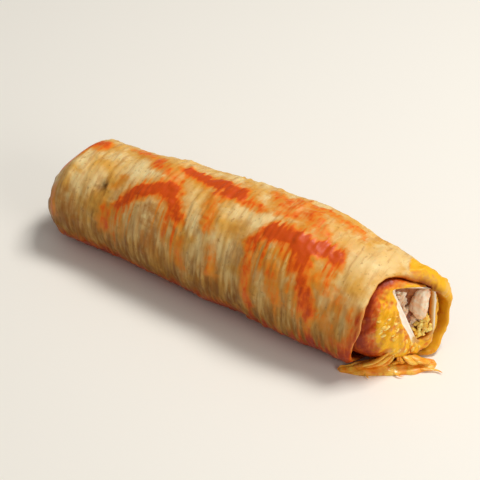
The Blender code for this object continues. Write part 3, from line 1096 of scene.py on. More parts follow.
@dataclass(frozen=True)
class TortillaFinish:
    """Baked flour tortilla with toasting and baked red sauce, with painted shade towards its foot and in its
    dimple, groove and recesses, and a painted highlight along the hood's lip.
    """

    cream: Colour = srgb(242, 214, 150)
    golden: Colour = srgb(226, 166, 70)
    toasted: Colour = srgb(180, 106, 24)
    browned: Colour = srgb(128, 68, 10)
    bare: Colour = srgb(248, 222, 160)
    # Near white of bare edges, also a painted highlight along the hood's lip.
    edge: Colour = srgb(255, 240, 222)
    stained: Colour = srgb(220, 132, 30)
    soaked: Colour = srgb(200, 150, 66)
    # The olive brown and the deep red are tones seen in shade: painted shade mixed with soaked sauce, for the lower
    # flank and the recesses.
    shaded_olive: Colour = srgb(122, 74, 8)
    cheese: Colour = srgb(248, 186, 24)
    deep: Colour = srgb(128, 32, 2)
    sauce_stops: tuple[tuple[float, Colour], ...] = (
        (0.0, srgb(230, 172, 66)),
        (0.26, srgb(236, 154, 34)),
        (0.5, srgb(238, 130, 18)),
        (0.78, srgb(232, 100, 8)),
        (1.0, srgb(208, 76, 6)),
    )

    def material(self, effects: Effects) -> bpy.types.Material:
        """Build the material.

        Args:
            effects: Shared shader groups.

        Returns:
            The material.
        """
        material, shader, canvas = new_material("baked_tortilla")
        place = canvas.place()
        sauce = canvas.attribute(CoatKind.SAUCE.value)
        toast = canvas.attribute(CoatKind.TOAST.value)
        pale = canvas.attribute(CoatKind.PALE_AND_HIGHLIGHT.value)
        cheese = canvas.attribute(CoatKind.CHEESE.value)
        soak_and_shade = canvas.attribute(CoatKind.SOAK_AND_SHADE.value)
        shade_and_soaked_sauce = canvas.attribute(CoatKind.DARK.value)
        blotch = canvas.noise(place, 70.0, 4.0, 0.6)
        streaks = effects.use(canvas, effects.grain, Stretch=(1.0, 0.2, 0.2), Scale=560.0)
        broad = canvas.noise(canvas.stretch(place, (1.0, 0.18, 0.18)), 250.0, 3.0)
        fine = canvas.noise(place, 560.0, 4.0)
        colour = canvas.blend(canvas.spread(blotch, 0.36, 0.66), self.cream, self.golden)
        golden_share = canvas.calc("MULTIPLY", canvas.spread(broad, 0.42, 0.62), 0.5)
        colour = canvas.blend(golden_share, colour, self.golden)
        colour = canvas.blend(canvas.calc("MULTIPLY", pale, 0.85), colour, self.bare)
        # Darker towards the foot: soaked tortilla mixed with painted shade of the lower flank.
        soak_and_shade_colour = canvas.blend(canvas.spread(broad, 0.36, 0.64), self.soaked, self.shaded_olive)
        soak_and_shade_streaks = canvas.spread(streaks.outputs["Height"], 0.32, 0.62, 0.6, 1.0)
        soak_and_shade_share = canvas.calc("MULTIPLY", soak_and_shade, soak_and_shade_streaks)
        colour = canvas.blend(soak_and_shade_share, colour, soak_and_shade_colour)
        line_share = canvas.calc("MULTIPLY", canvas.spread(streaks.outputs["Height"], 0.47, 0.7), 0.42)
        colour = canvas.blend(line_share, colour, self.toasted)
        freckles = canvas.calc("MULTIPLY", canvas.spread(fine, 0.6, 0.72), 0.4)
        colour = canvas.blend(freckles, colour, self.browned)
        toast_share = canvas.calc("MULTIPLY", toast, canvas.spread(canvas.noise(place, 240.0, 4.0), 0.3, 0.6))
        colour = canvas.blend(toast_share, colour, self.toasted)
        halo_patches = canvas.spread(blotch, 0.25, 0.6, 0.35, 0.8)
        halo = canvas.calc("MULTIPLY", canvas.spread(sauce, 0.02, 0.4), halo_patches)
        colour = canvas.blend(halo, colour, self.stained)
        ragged = canvas.calc("SUBTRACT", canvas.noise(place, 300.0, 5.0, 0.3), 0.5)
        uneven = canvas.calc("MULTIPLY_ADD", ragged, 0.8, sauce)
        wavy = canvas.calc("SUBTRACT", streaks.outputs["Height"], 0.5)
        streaky = canvas.calc("MULTIPLY_ADD", wavy, 1.0, uneven)
        sauce_level = canvas.calc("MULTIPLY", streaky, canvas.spread(sauce, 0.02, 0.4))
        sauce_colour = canvas.ramp(sauce_level, self.sauce_stops)
        colour = canvas.blend(canvas.spread(sauce_level, 0.12, 0.85), colour, sauce_colour)
        cheese_level = canvas.calc("MULTIPLY_ADD", canvas.calc("SUBTRACT", fine, 0.5), 1.4, cheese)
        cheese_share = canvas.calc("MULTIPLY", canvas.spread(cheese_level, 0.3, 0.9), 0.85)
        colour = canvas.blend(cheese_share, colour, self.cheese)
        # Near white on the fold's rim and pleats, and a painted highlight on the hood's lip.
        sauce_free = canvas.spread(sauce, 0.5, 0.1, 0.0, 0.9)
        pale_edge_and_highlight_level = canvas.calc("MULTIPLY", canvas.spread(pale, 0.66, 0.92), sauce_free)
        colour = canvas.blend(pale_edge_and_highlight_level, colour, self.edge)
        # Painted shade in the dimple, the recesses and the groove and towards the foot, mixed with soaked sauce:
        # olive brown turning deep red where sauce lies.
        shade_streaks = canvas.spread(streaks.outputs["Height"], 0.3, 0.6, 0.55, 0.95)
        shade_level = canvas.calc("MULTIPLY", shade_and_soaked_sauce, shade_streaks)
        shade_and_sauce_colour = canvas.blend(canvas.spread(sauce, 0.15, 0.6), self.shaded_olive, self.deep)
        colour = canvas.blend(shade_level, colour, shade_and_sauce_colour)
        canvas.feed(shader.inputs["Base Color"], colour)
        dry = effects.use(canvas, effects.gloss, Wet=0.44, Dry=0.62, Scale=160.0)
        wet = effects.use(canvas, effects.gloss, Wet=0.34, Dry=0.52, Scale=260.0)
        cheese_wetness = canvas.spread(cheese, 0.3, 0.8, 0.0, 0.8)
        wetness = canvas.calc("MAXIMUM", canvas.spread(sauce_level, 0.3, 0.9), cheese_wetness)
        level = canvas.add("ShaderNodeMix", data_type="FLOAT")
        canvas.feed(level.inputs[0], wetness)
        canvas.feed(level.inputs[2], dry.outputs[0])
        canvas.feed(level.inputs[3], wet.outputs[0])
        canvas.feed(shader.inputs["Roughness"], level.outputs[0])
        bump = canvas.add("ShaderNodeBump")
        bump.inputs["Strength"].default_value = 0.35
        bump.inputs["Distance"].default_value = mm(0.25)
        canvas.feed(bump.inputs["Height"], canvas.calc("ADD", streaks.outputs["Height"], fine))
        canvas.feed(shader.inputs["Normal"], bump.outputs["Normal"])
        shader.inputs["Specular IOR Level"].default_value = 0.22
        Softness().apply(shader)
        return material


@dataclass(frozen=True)
class MoistFinish:
    """A moist food surface of two colours with a soft, uneven gloss.

    Attributes:
        name: Name of the material.
        base: Main colour.
        accent: Colour of the patches.
        deep: Colour of small, darker spots.
        scale: How fine the patches are, in waves a metre.
        stretch: How the grain is drawn out along each axis.
        wet: Roughness of the wet patches.
        dry: Roughness of the dry patches.
        bump: Height of the grain.
    """

    name: str
    base: Colour
    accent: Colour
    deep: Colour
    scale: float = 260.0
    stretch: tuple[float, float, float] = (1.0, 1.0, 1.0)
    wet: float = 0.25
    dry: float = 0.5
    bump: float = mm(0.15)

    def material(self, effects: Effects) -> bpy.types.Material:
        """Build the material.

        Args:
            effects: Shared shader groups.

        Returns:
            The material.
        """
        material, shader, canvas = new_material(self.name)
        place = canvas.place()
        grain = effects.use(canvas, effects.grain, Stretch=self.stretch, Scale=self.scale)
        spots = canvas.noise(place, self.scale * 1.9, 3.0)
        colour = canvas.blend(grain.outputs["Mask"], self.base, self.accent)
        colour = canvas.blend(canvas.calc("MULTIPLY", canvas.spread(spots, 0.55, 0.7), 0.6), colour, self.deep)
        canvas.feed(shader.inputs["Base Color"], colour)
        gloss = effects.use(canvas, effects.gloss, Wet=self.wet, Dry=self.dry, Scale=self.scale)
        canvas.feed(shader.inputs["Roughness"], gloss.outputs["Roughness"])
        bump = canvas.add("ShaderNodeBump")
        bump.inputs["Strength"].default_value = 0.3
        bump.inputs["Distance"].default_value = self.bump
        canvas.feed(bump.inputs["Height"], grain.outputs["Height"])
        canvas.feed(shader.inputs["Normal"], bump.outputs["Normal"])
        Softness(weight=0.18, depth=mm(1.8)).apply(shader)
        return material


# Filling body: browned cooked meat darkened with painted shade for the hollow behind the opening.
SHADED_CORE_FINISH = MoistFinish(
    name="browned_and_shaded_filling",
    base=srgb(150, 84, 44),
    accent=srgb(176, 106, 58),
    deep=srgb(110, 54, 24),
    scale=420.0,
)
CHICKEN_FINISH = MoistFinish(
    name="cooked_chicken",
    base=srgb(255, 232, 200),
    accent=srgb(255, 208, 164),
    deep=srgb(240, 170, 122),
    scale=420.0,
    stretch=(0.35, 1.0, 1.0),
    wet=0.3,
    dry=0.5,
)
CHEESE_FINISH = MoistFinish(
    name="melted_cheese",
    base=srgb(248, 196, 78),
    accent=srgb(242, 152, 26),
    deep=srgb(226, 108, 10),
    scale=210.0,
    wet=0.2,
    dry=0.42,
    bump=mm(0.1),
)
PALE_CHEESE_FINISH = MoistFinish(
    name="pale_cheese",
    base=srgb(252, 218, 120),
    accent=srgb(246, 188, 56),
    deep=srgb(236, 152, 30),
    scale=260.0,
    wet=0.22,
    dry=0.45,
    bump=mm(0.1),
)

@dataclass
class TortillaWrap:
    """The rolled tortilla: one closed sheet with a lip, a groove and a tucked fold."""

    shape: RollShape
    coats: Coats
    columns: int = 248
    dome_rings: int = 34
    body_rings: int = 222
    lip_rings: int = 8
    fold_rings: int = 44
    inner_fold_rings: int = 10
    inner_rings: int = 14
    sauce_thickness: float = mm(0.28)
    cheese_thickness: float = mm(0.9)
    rows: list[list[Vector]] = field(default_factory=list)
    amounts: list[list[dict]] = field(default_factory=list)

    def add_ring(self, ring: Callable[[float], tuple[Vector, dict]]) -> None:
        """Work out one ring of points and their coats."""
        made = [ring(turn) for turn in turns(self.columns)]
        self.rows.append([point for point, _ in made])
        self.amounts.append([coats for _, coats in made])

    def skin_point(self, place: float, turn: float) -> tuple[Vector, dict]:
        """Skin point raised by the sauce that lies on it.

        Args:
            place: Place along the roll, in metres.
            turn: Turn about the roll, in radians.

        Returns:
            The point and its coats.
        """
        plain = self.shape.skin(place, turn)
        coats = self.coats.on_skin(place, turn, plain.z)
        raised = inset_towards(plain, self.shape.middle(place), -self.coat_height(coats))
        raised.z = max(raised.z, 0.0)
        return raised, coats

    def coat_height(self, coats: dict) -> float:
        """Thickness of the coats at a point."""
        sauce = min(coats[CoatKind.SAUCE], 1.2)
        cheese = ease(0.2, 1.1, coats[CoatKind.CHEESE])
        return self.sauce_thickness * ease(0.35, 1.1, sauce) + self.cheese_thickness * cheese

    def dome_point(self, share: float, turn: float) -> tuple[Vector, dict]:
        """Point of the shut far end with its coats.

        Args:
            share: How far out from the tuck, from 0 to 1.
            turn: Turn about the roll, in radians.

        Returns:
            The point and its coats.
        """
        point = self.shape.dome(share, turn, 0.0)
        coats = self.coats.on_skin(point.x, turn, point.z)
        fade = ease(0.15, 0.75, share)
        coats[CoatKind.SAUCE] *= mix(0.4, 1.0, fade)
        coats[CoatKind.TOAST] += 0.35 * (1.0 - fade)
        return point, coats

    def lip_point(self, angle: float, turn: float) -> tuple[Vector, dict]:
        """Point on the rounded edge of the lip: angle runs from 0 on the skin to a half turn inside.

        Args:
            angle: Angle round the edge, in radians.
            turn: Turn about the roll, in radians.

        Returns:
            The point and its coats.
        """
        depth_share = (1.0 - math.cos(angle)) / 2.0
        place = self.shape.lip(turn) - self.shape.lip_rounding * (1.0 - math.sin(angle))
        depth = depth_share * self.shape.edge_wall(turn)
        point = self.shape.below_skin(place, turn, depth, 1.0 - depth_share)
        coats = self.coats.inside_lip(point, depth_share)
        outer = self.coats.on_skin(place, turn, point.z)
        hood = self.shape.hood(turn)
        for kind in (CoatKind.SAUCE, CoatKind.TOAST, CoatKind.SOAK_AND_SHADE, CoatKind.DARK):
            coats[kind] = mix(outer[kind], coats[kind], ease(0.0, 0.6, depth_share))
        high = ease(mm(22.0), mm(40.0), point.z)
        coats[CoatKind.CHEESE] = hood * 0.9
        coats[CoatKind.SAUCE] *= mix(1.0, 0.55, hood)
        coats[CoatKind.DARK] *= 1.0 - 0.75 * hood * (1.0 - high)
        # Painted highlight along the hood's rounded edge.
        coats[CoatKind.PALE_AND_HIGHLIGHT] = 0.7 * hood * (1.0 - abs(2.0 * depth_share - 0.7)) * (1.0 - 0.6 * high)
        return point, coats

    def groove_point(self, sink: float, turn: float) -> tuple[Vector, dict]:
        """Point on the lip's inner face: sink runs from 0 at the lip to 1 at the groove's bottom.

        Args:
            sink: How deep in the groove, from 0 to 1.
            turn: Turn about the roll, in radians.

        Returns:
            The point and its coats.
        """
        place = mix(self.shape.lip(turn) - self.shape.lip_rounding, self.shape.groove(turn), sink)
        point = self.shape.below_skin(place, turn, self.shape.edge_wall(turn), 0.0)
        coats = self.coats.inside_lip(point, 1.0)
        bright = self.shape.hood(turn) * (1.0 - sink) * (1.0 - ease(mm(24.0), mm(40.0), point.z))
        coats[CoatKind.CHEESE] = 0.9 * bright
        coats[CoatKind.SAUCE] = mix(0.85, 0.5, bright)
        # Painted shade deep in the groove, lifted where the hood's cheese-coated inner face shows.
        coats[CoatKind.DARK] = mix(1.0, 0.1, bright)
        return point, coats

    def fold_point(self, share: float, turn: float) -> tuple[Vector, dict]:
        """Point of the tucked fold with pleats and a lumpy coat.

        Args:
            share: Share of the way across the fold.
            turn: Turn about the roll, in radians.

        Returns:
            The point and its coats.
        """
        plain = self.shape.fold(turn, share)
        coats = self.coats.on_fold(plain, turn, share)
        window = math.sin(math.pi * min(share, 1.0))
        pleat = self.coats.pleat(plain)[0]
        proud = mm(1.3) * pleat * window ** 0.5
        lumps = mm(0.5) * noise.noise(plain / mm(1.9)) + mm(0.9) * noise.noise(plain / mm(5.0))
        proud += lumps * window ** 0.5
        proud += self.coat_height(coats) * 0.6 * ease(0.0, 0.1, 1.0 - share)
        rim = 1.0 - ease(0.0, 0.10, share)
        proud += mm(0.5) * rim
        return self.shape.fold(turn, share, proud if abs(proud) > 1e-7 else 1e-7), coats

    def inside_point(self, point: Vector) -> tuple[Vector, dict]:
        """Point of the inner wall, which only shows through the opening.

        Args:
            point: The point.

        Returns:
            The point and its coats.
        """
        coats = {kind: 0.0 for kind in CoatKind}
        coats[CoatKind.SAUCE] = 0.5
        coats[CoatKind.SOAK_AND_SHADE] = 0.6
        return point, coats

    def build(self, effects: Effects) -> bpy.types.Object:
        """Model and dress the tortilla.

        Args:
            effects: Shared shader groups.

        Returns:
            The piece.
        """
        shape = self.shape
        start = shape.far_tip + shape.dome_length
        self.add_ring(lambda turn: self.dome_point(0.0, turn))
        for share in shares(self.dome_rings):
            self.add_ring(lambda turn, share=share: self.dome_point(share, turn))
        for share in shares(self.body_rings):
            self.add_ring(lambda turn, share=share: self.skin_point(
                mix(start, shape.lip(turn) - shape.lip_rounding, share), turn))
        for share in shares(self.lip_rings):
            self.add_ring(lambda turn, share=share: self.lip_point(share * math.pi, turn))
        for sink in (0.15, 0.3, 0.5, 0.75, 1.0):
            self.add_ring(lambda turn, sink=sink: self.groove_point(sink, turn))
        for index in range(self.fold_rings + 1):
            share = 1.0 - index / self.fold_rings
            self.add_ring(lambda turn, share=share: self.fold_point(share, turn))
        for index in range(self.inner_fold_rings + 1):
            share = index / self.inner_fold_rings
            self.add_ring(lambda turn, share=share: self.inside_point(
                shape.fold_inside(turn, share, shape.fold_wall)))
        for share in reversed(shares(self.inner_rings)):
            self.add_ring(lambda turn, share=share: self.inside_point(shape.below_skin(
                mix(start, shape.groove(turn) - shape.wall, share - 0.03), turn, shape.wall, 0.0)))
        for share in (0.85, 0.65, 0.45, 0.25):
            self.add_ring(lambda turn, share=share: self.inside_point(shape.dome(share, turn, shape.wall)))
        close = sum(self.rows[-1], Vector()) / self.columns
        self.add_ring(lambda turn: self.inside_point(close))
        piece = grid_body("tortilla_wrap", self.rows, self.amounts)
        piece.data.materials.append(TortillaFinish().material(effects))
        return piece


@dataclass
class ChickenFilling:
    """The filling: a core through the roll with a lumpy end face, and loose shreds in the opening."""

    shape: RollShape
    columns: int = 120
    face_rings: int = 22
    clearance: float = mm(0.5)
    recess: float = mm(6.0)
    hollow: float = mm(5.0)
    shred_count: int = 16
    seed: int = 5

    def face_point(self, spread: float, turn: float) -> Vector:
        """Point of the end face: close behind the opening at the back, hollow at the front.

        Args:
            spread: How far out from the middle, from 0 to 1.
            turn: Turn about the roll, in radians.

        Returns:
            The point.
        """
        shape = self.shape
        rim = shape.fold_inside(turn, 0.0, shape.fold_wall + self.clearance)
        place = shape.opening_place - shape.fold_wall - self.recess
        middle = Vector((place, shape.opening_offset, shape.opening_height))
        point = middle + (rim - middle) * spread
        sunk = ease(0.3, -1.0, math.sin(turn)) * self.hollow * math.sin(math.pi * spread)
        chunk = noise.noise(point / mm(4.2) + Vector((3.0, 0.0, 0.0)))
        chunk *= math.sin(math.pi * min(spread + 0.25, 1.0))
        fibre = noise.noise(Vector((point.x / mm(3.0), point.y / mm(0.9), point.z / mm(3.5))))
        point.x += mm(1.3) * chunk + mm(0.25) * fibre * (1.0 - spread) - sunk * 0.6
        return point

    def build_core(self) -> bpy.types.Object:
        """The body of the filling.

        Returns:
            The new object.
        """
        shape = self.shape
        rows = [[self.face_point(0.0, turn) for turn in turns(self.columns)]]
        for spread in shares(self.face_rings)[:-1]:
            rows.append([self.face_point(spread, turn) for turn in turns(self.columns)])
        start = shape.far_tip + shape.dome_length
        depth = shape.fold_wall + self.clearance
        for share in [0.0] + shares(12):
            rows.append([shape.fold_inside(turn, share, depth) for turn in turns(self.columns)])
        depth = shape.wall + self.clearance
        for share in reversed(shares(14)):
            rows.append([
                shape.below_skin(mix(start, shape.groove(turn) - shape.wall, share - 0.03), turn, depth, 0.0)
                for turn in turns(self.columns)
            ])
        for share in (0.85, 0.65, 0.45, 0.25):
            rows.append([shape.dome(share, turn, depth) for turn in turns(self.columns)])
        close = sum(rows[-1], Vector()) / self.columns
        rows.append([close] * self.columns)
        first = sum(rows[0], Vector()) / self.columns
        rows[0] = [first] * self.columns
        return grid_body("chicken_core", rows)

    def spot(self, across: float, up: float, sunk: float) -> Vector:
        """Point behind the opening, from millimetres across and up from its middle and below its face."""
        shape = self.shape
        place = shape.opening_place + mm(shape.opening_slope_y * across + shape.opening_slope_z * up - sunk)
        return Vector((place, shape.opening_offset + mm(across), shape.opening_height + mm(up)))

    def build_shreds(self) -> bpy.types.Object:
        """One big torn chunk of chicken in the opening, with shreds round it.

        Returns:
            The new object.
        """
        draw = random.Random(self.seed)
        work = bmesh.new()
        lean = Matrix.Rotation(math.radians(-14.0), 4, "X")
        self.add_shred(work, self.spot(2.6, 1.6, 3.2), lean, mm(7.8), mm(4.4), 3.0)
        self.add_shred(work, self.spot(3.6, -2.0, 4.4), lean, mm(6.4), mm(3.0), 19.0)
        for index in range(self.shred_count):
            share = (index + 0.5) / self.shred_count
            up = mix(-13.0, 9.0, share) + draw.uniform(-1.0, 1.0)
            across = draw.uniform(-3.4, 1.0) - 0.1 * up
            sunk = draw.uniform(6.0, 8.5)
            spin = Matrix.Rotation(draw.uniform(-0.9, 0.9), 4, "X")
            spin = spin @ Matrix.Rotation(draw.uniform(-0.4, 0.9), 4, "Z")
            self.add_shred(
                work, self.spot(across, up, sunk), spin, mm(draw.uniform(3.4, 5.4)), mm(draw.uniform(1.3, 2.1)), index * 7.0)
        return finished_object("chicken_shreds", work)

    @staticmethod
    def add_shred(
        work: bmesh.types.BMesh, middle: Vector, spin: Matrix, length: float, thick: float, seed: float,
    ) -> None:
        """One torn shred: a drawn-out ball with fibres along it.

        Args:
            work: The bmesh that it joins.
            middle: Its middle.
            spin: How it is turned.
            length: Half its length.
            thick: Half its thickness.
            seed: Shifts its noise.
        """
        made = bmesh.ops.create_icosphere(work, subdivisions=4, radius=1.0)
        for vertex in made["verts"]:
            unit = vertex.co.copy()
            fibre = noise.noise(Vector((unit.z * 0.9 + seed, unit.x * 5.5, unit.y * 5.5)))
            lump_height = noise.noise(unit * 1.4 + Vector((seed, 0.0, 0.0)))
            swell = 1.0 + 0.16 * fibre + 0.28 * lump_height
            width = thick * swell
            local = Vector((unit.x * width, unit.y * 0.75 * width, unit.z * length * (1.0 + 0.12 * fibre)))
            local.x += 0.15 * length * unit.z * unit.z
            vertex.co = middle + (spin @ local)

    def build(self, effects: Effects) -> list[bpy.types.Object]:
        """Model and dress the filling.

        Args:
            effects: Shared shader groups.

        Returns:
            The core and the shreds.
        """
        core = self.build_core()
        core.data.materials.append(SHADED_CORE_FINISH.material(effects))
        shreds = self.build_shreds()
        shreds.data.materials.append(CHICKEN_FINISH.material(effects))
        return [core, shreds]


@dataclass
class MeltedCheese:
    """Cheese that ran out at the foot of the fold, with strings and blobs on the fold."""

    shape: RollShape
    thickness: float = mm(3.0)
    edge_turn: float = 0.18
    steps: int = 150
    columns: int = 56
    seed: int = 11
    spine: tuple[tuple[float, float, float], ...] = (
        (70.5, -22.0, 1.2),
        (77.0, -18.2, 3.0),
        (84.0, -12.0, 4.8),
        (91.5, -5.6, 5.4),
        (99.5, 1.2, 4.3),
        (105.0, 5.6, 1.5),
    )

    def spine_point(self, share: float) -> list[float]:
        """Smooth point and half width at a share of the spill's middle line, in millimetres.

        Args:
            share: Share of the way along the middle line.

        Returns:
            Place along and across, and half width.
        """
        scaled = share * (len(self.spine) - 1)
        index = min(int(scaled), len(self.spine) - 2)
        local = scaled - index
        before = self.spine[max(index - 1, 0)]
        low, high = self.spine[index], self.spine[index + 1]
        after = self.spine[min(index + 2, len(self.spine) - 1)]
        values = []
        for p0, p1, p2, p3 in zip(before, low, high, after):
            bend = 2.0 * p0 - 5.0 * p1 + 4.0 * p2 - p3
            twist = 3.0 * (p1 - p2) + p3 - p0
            values.append(0.5 * (2.0 * p1 + (p2 - p0) * local + bend * local ** 2 + twist * local ** 3))
        return values

    def ring(self, share: float) -> list[Vector]:
        """Section across the spill: flat below, rounded and stringy above, with a lobed outline.

        Args:
            share: Share of the way along the middle line.

        Returns:
            The section's points, in order.
        """
        across_x, across_y, half_width = self.spine_point(share)
        ahead_x, ahead_y, _ = self.spine_point(min(share + 0.02, 1.0))
        behind_x, behind_y, _ = self.spine_point(max(share - 0.02, 0.0))
        run = Vector((ahead_x - behind_x, ahead_y - behind_y, 0.0)).normalized()
        side = Vector((run.y, -run.x, 0.0))
        ends = ease(0.0, 0.06, share) * (1.0 - ease(0.95, 1.0, share))
        height = self.thickness * (0.45 + 0.55 * math.sin(math.pi * share)) * ends
        ring = []
        for index in range(self.columns):
            angle = math.tau * index / self.columns
            outward = math.cos(angle)
            lobe = noise.noise(Vector((across_x / 5.5, 2.0 if outward > 0.0 else 8.0, 0.0)))
            reach = half_width * ends * (1.0 + 0.32 * lobe) * outward
            up = max(math.sin(angle), -self.edge_turn)
            level = height * (up + self.edge_turn) / (1.0 + self.edge_turn)
            point = Vector((mm(across_x), mm(across_y), level)) + side * mm(reach)
            string = noise.noise(Vector((across_x / 14.0, reach / 1.1, 3.0)))
            blob = noise.noise(Vector((across_x / 3.4, reach / 3.0, 7.0)))
            point.z = max(point.z * (1.0 + 0.28 * string + 0.35 * blob), 0.0)
            if outward < -0.2:
                point.z += mm(1.6) * ease(-0.2, -0.9, outward) * max(up, 0.0)
            ring.append(point)
        return ring

    def build_spill(self) -> bpy.types.Object:
        """The spill on the surface.

        Returns:
            The new object.
        """
        rows = [self.ring(index / self.steps) for index in range(self.steps + 1)]
        for end in (0, -1):
            middle = sum(rows[end], Vector()) / self.columns
            rows[end] = [middle] * self.columns
        return grid_body("cheese_spill", rows)

    def build_blobs(self) -> bpy.types.Object:
        """Half-melted bits at the foot of the opening and along the foot of the fold.

        Returns:
            The new object.
        """
        draw = random.Random(self.seed)
        shape = self.shape
        work = bmesh.new()
        for index in range(34):
            across = draw.uniform(-2.2, 4.4)
            up = draw.uniform(-14.5, -8.0) + 0.9 * across
            sunk = draw.uniform(0.8, 3.0)
            place = shape.opening_place + mm(shape.opening_slope_y * across + shape.opening_slope_z * up - sunk)
            middle = Vector((place, shape.opening_offset + mm(across), shape.opening_height + mm(up)))
            aim = Vector((0.2, draw.uniform(-1.0, 1.0), draw.uniform(-1.0, 1.0)))
            self.add_blob(work, middle, aim, mm(draw.uniform(0.9, 1.7)), draw.uniform(1.0, 1.7), 200.0 + index)
        for index in range(44):
            turn = math.radians(draw.uniform(-176.0, -70.0))
            share = draw.uniform(0.22, 0.72)
            middle = shape.fold(turn, share, mm(0.15))
            below = shape.fold(turn, min(share + 0.05, 1.0), mm(0.15))
            size = mm(draw.uniform(0.5, 1.25))
            self.add_blob(work, middle, below - middle, size, draw.uniform(0.9, 1.5), index * 3.0)
        return finished_object("cheese_blobs", work)

    def build_strings(self) -> bpy.types.Object:
        """Strings of cheese that trail off the spill and climb from it to the fold.

        Returns:
            The new object.
        """
        draw = random.Random(self.seed + 1)
        work = bmesh.new()
        for index in range(14):
            share = draw.uniform(0.1, 0.78)
            across_x, across_y, half_width = self.spine_point(share)
            outward = draw.uniform(-0.3, 1.0)
            reach_out = half_width * outward
            start = Vector((mm(across_x + 0.75 * reach_out), mm(across_y - 0.66 * reach_out), mm(1.0)))
            heading = math.radians(draw.uniform(10.0, 58.0))
            reach = mm(draw.uniform(5.0, 13.0))
            path = []
            for step in range(9):
                along = step / 8.0
                bend = mm(2.2) * math.sin(along * 4.0 + index) * along
                path.append(start + Vector((
                    reach * along * math.cos(heading) - bend * math.sin(heading),
                    reach * along * math.sin(heading) + bend * math.cos(heading),
                    mm(0.5) * (1.0 - along),
                )))
            self.add_string(work, path, mm(draw.uniform(0.6, 1.3)))
        for index in range(12):
            share = mix(0.2, 0.9, (index + draw.uniform(-0.4, 0.4)) / 11.0)
            across_x, across_y, half_width = self.spine_point(share)
            turn = math.radians(mix(-128.0, -176.0, share) + draw.uniform(-6.0, 6.0))
            top = self.shape.fold(turn, 0.72, mm(0.3))
            foot = Vector((mm(across_x - 0.3 * half_width), mm(across_y + 0.3 * half_width), mm(1.6)))
            sag = Vector((mm(1.6), -mm(1.2), 0.0))
            path = [top.lerp(foot, step / 8.0) + sag * math.sin(math.pi * step / 8.0) for step in range(9)]
            self.add_string(work, path, mm(draw.uniform(1.0, 1.9)), 1.5)
        return finished_object("cheese_strings", work)

    @staticmethod
    def add_string(work: bmesh.types.BMesh, path: Sequence[Vector], width: float, swell: float = 0.35) -> None:
        """One soft, tapering string.

        Args:
            work: The bmesh that it joins.
            path: Points along its middle.
            width: Half its width where it starts.
            swell: How thick its far end is, against its start.
        """
        last = len(path) - 1
        made = bmesh.ops.create_icosphere(work, subdivisions=3, radius=1.0)
        for vertex in made["verts"]:
            station = min(max(0.5 * (vertex.co.z + 1.0), 0.0), 1.0) * last
            index = min(int(station), last - 1)
            middle = path[index].lerp(path[index + 1], station - index)
            heading = (path[index + 1] - path[index]).normalized()
            side = heading.cross(Vector((0.0, 0.0, 1.0))).normalized()
            over = side.cross(heading)
            thick = width * mix(1.0, swell, station / last) * (1.0 + 0.35 * noise.noise(middle / mm(2.0)))
            point = middle + side * (vertex.co.x * thick) + over * (vertex.co.y * thick * 0.6)
            vertex.co = Vector((point.x, point.y, max(point.z, 0.0)))

    @staticmethod
    def add_blob(
        work: bmesh.types.BMesh, middle: Vector, aim: Vector, size: float, length: float, seed: float,
    ) -> None:
        """One soft blob, drawn out along the way it ran.

        Args:
            work: The bmesh that it joins.
            middle: Its middle.
            aim: The way it ran.
            size: Half its width.
            length: Its length over its width.
            seed: Shifts its noise.
        """
        made = bmesh.ops.create_icosphere(work, subdivisions=3, radius=1.0)
        turn = aim.to_track_quat("Z", "Y")
        for vertex in made["verts"]:
            unit = vertex.co.copy()
            swell = 1.0 + 0.35 * noise.noise(unit * 1.3 + Vector((seed, 0.0, 0.0)))
            local = Vector((unit.x * 0.85, unit.y * 0.6, unit.z * length)) * size * swell
            vertex.co = middle + turn @ local

    def build(self, effects: Effects) -> list[bpy.types.Object]:
        """Model and dress the cheese.

        Args:
            effects: Shared shader groups.

        Returns:
            The spill and the blobs.
        """
        spill = self.build_spill()
        spill.data.materials.append(CHEESE_FINISH.material(effects))
        blobs = self.build_blobs()
        blobs.data.materials.append(PALE_CHEESE_FINISH.material(effects))
        strings = self.build_strings()
        strings.data.materials.append(spill.data.materials[0])
        return [spill, blobs, strings]


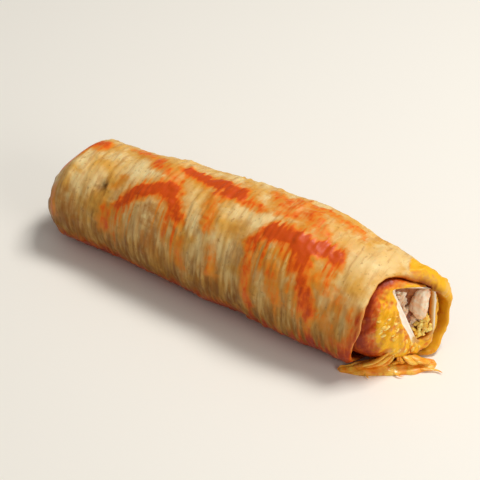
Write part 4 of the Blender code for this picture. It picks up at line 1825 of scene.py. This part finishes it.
@dataclass
class Studio:
    """Pale floor, soft white lamps and the camera."""

    azimuth: float = 34.7
    elevation: float = 37.0
    distance: float = 0.806
    lens: float = 132.6
    floor_colour: Colour = srgb(246, 240, 228)

    def build(self) -> None:
        """Set up the floor, the lamps, the world and the camera."""
        self.add_floor()
        self.add_lamp("key_lamp", Vector((0.3, 0.35, 1.08)), 0.4, 9.6)
        self.add_lamp("side_lamp", Vector((1.1, -0.25, 0.5)), 0.6, 4.2)
        world = bpy.data.worlds.new("studio_world")
        bpy.context.scene.world = world
        world.use_nodes = True
        world.node_tree.nodes["Background"].inputs["Color"].default_value = (1.0, 1.0, 1.0, 1.0)
        world.node_tree.nodes["Background"].inputs["Strength"].default_value = 0.27
        bpy.context.scene.view_settings.view_transform = "Standard"
        self.add_camera()

    def add_floor(self) -> None:
        """A plain pale floor."""
        work = bmesh.new()
        bmesh.ops.create_grid(work, x_segments=1, y_segments=1, size=4.0)
        floor = finished_object("floor", work)
        material, shader, _ = new_material("floor")
        shader.inputs["Base Color"].default_value = (*self.floor_colour, 1.0)
        shader.inputs["Roughness"].default_value = 0.7
        floor.data.materials.append(material)

    @staticmethod
    def add_lamp(name: str, place: Vector, size: float, power: float) -> None:
        """A soft white square lamp aimed at the middle of the part.

        Args:
            name: Name of the lamp.
            place: Where it stands.
            size: Length of its side.
            power: Its power, in watts.
        """
        data = bpy.data.lights.new(name, "AREA")
        data.size = size
        data.energy = power
        lamp = bpy.data.objects.new(name, data)
        lamp.location = place
        lamp.rotation_euler = (-place).to_track_quat("-Z", "Y").to_euler()
        bpy.context.scene.collection.objects.link(lamp)

    def add_camera(self) -> None:
        """A long lens that looks down on the part from the front right."""
        low, high = CAD_BOUNDS
        target = (low + high) / 2.0
        azimuth, elevation = math.radians(self.azimuth), math.radians(self.elevation)
        back = Vector((
            math.sin(azimuth) * math.cos(elevation),
            -math.cos(azimuth) * math.cos(elevation),
            math.sin(elevation),
        ))
        data = bpy.data.cameras.new("camera")
        data.lens = self.lens
        camera = bpy.data.objects.new("camera", data)
        camera.location = target + back * self.distance
        camera.rotation_euler = (-back).to_track_quat("-Z", "Y").to_euler()
        bpy.context.scene.collection.objects.link(camera)
        bpy.context.scene.camera = camera


def frame_shift(shape: RollShape) -> Vector:
    """Move that brings the shape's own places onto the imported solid.

    Args:
        shape: The roll.

    Returns:
        The move along the three axes.
    """
    low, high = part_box("tortilla")
    places = [mix(shape.far_tip + shape.dome_length, shape.front_lip, share) for share in shares(40)]
    across = [shape.skin(place, turn, 0.0).y for place in places for turn in turns(72)]
    middle = (min(across) + max(across)) / 2.0
    return Vector((high[0] - shape.back_lip, (low[1] + high[1]) / 2.0 - middle, 0.0))


def attach(piece: bpy.types.Object, shift: Vector, slot: str, node: str | None) -> None:
    """Bring a finished piece into the frame and tie it to the part.

    Args:
        piece: The piece.
        shift: Move from the shape's own places to the frame.
        slot: Material slot of the record.
        node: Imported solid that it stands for, or None.
    """
    piece.data.transform(Matrix.Translation(shift))
    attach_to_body(piece, BODY)
    if node is not None:
        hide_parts(node)
    LOG.info("%s: %d faces in slot %s", piece.name, len(piece.data.polygons), slot)


def main() -> None:
    """Build every piece in order, then the studio."""
    logging.basicConfig(level=logging.INFO, format="%(name)s: %(message)s")
    shape = RollShape()
    effects = Effects()
    shift = frame_shift(shape)
    attach(TortillaWrap(shape, Coats(shape)).build(effects), shift, "tortilla", "tortilla")
    for piece in ChickenFilling(shape).build(effects):
        attach(piece, shift, "chicken", "chicken_filling" if piece.name == "chicken_core" else None)
    for piece in MeltedCheese(shape).build(effects):
        attach(piece, shift, "cheese", "melted_cheese" if piece.name == "cheese_spill" else None)
    Studio().build()


if __name__ == "__main__":
    main()
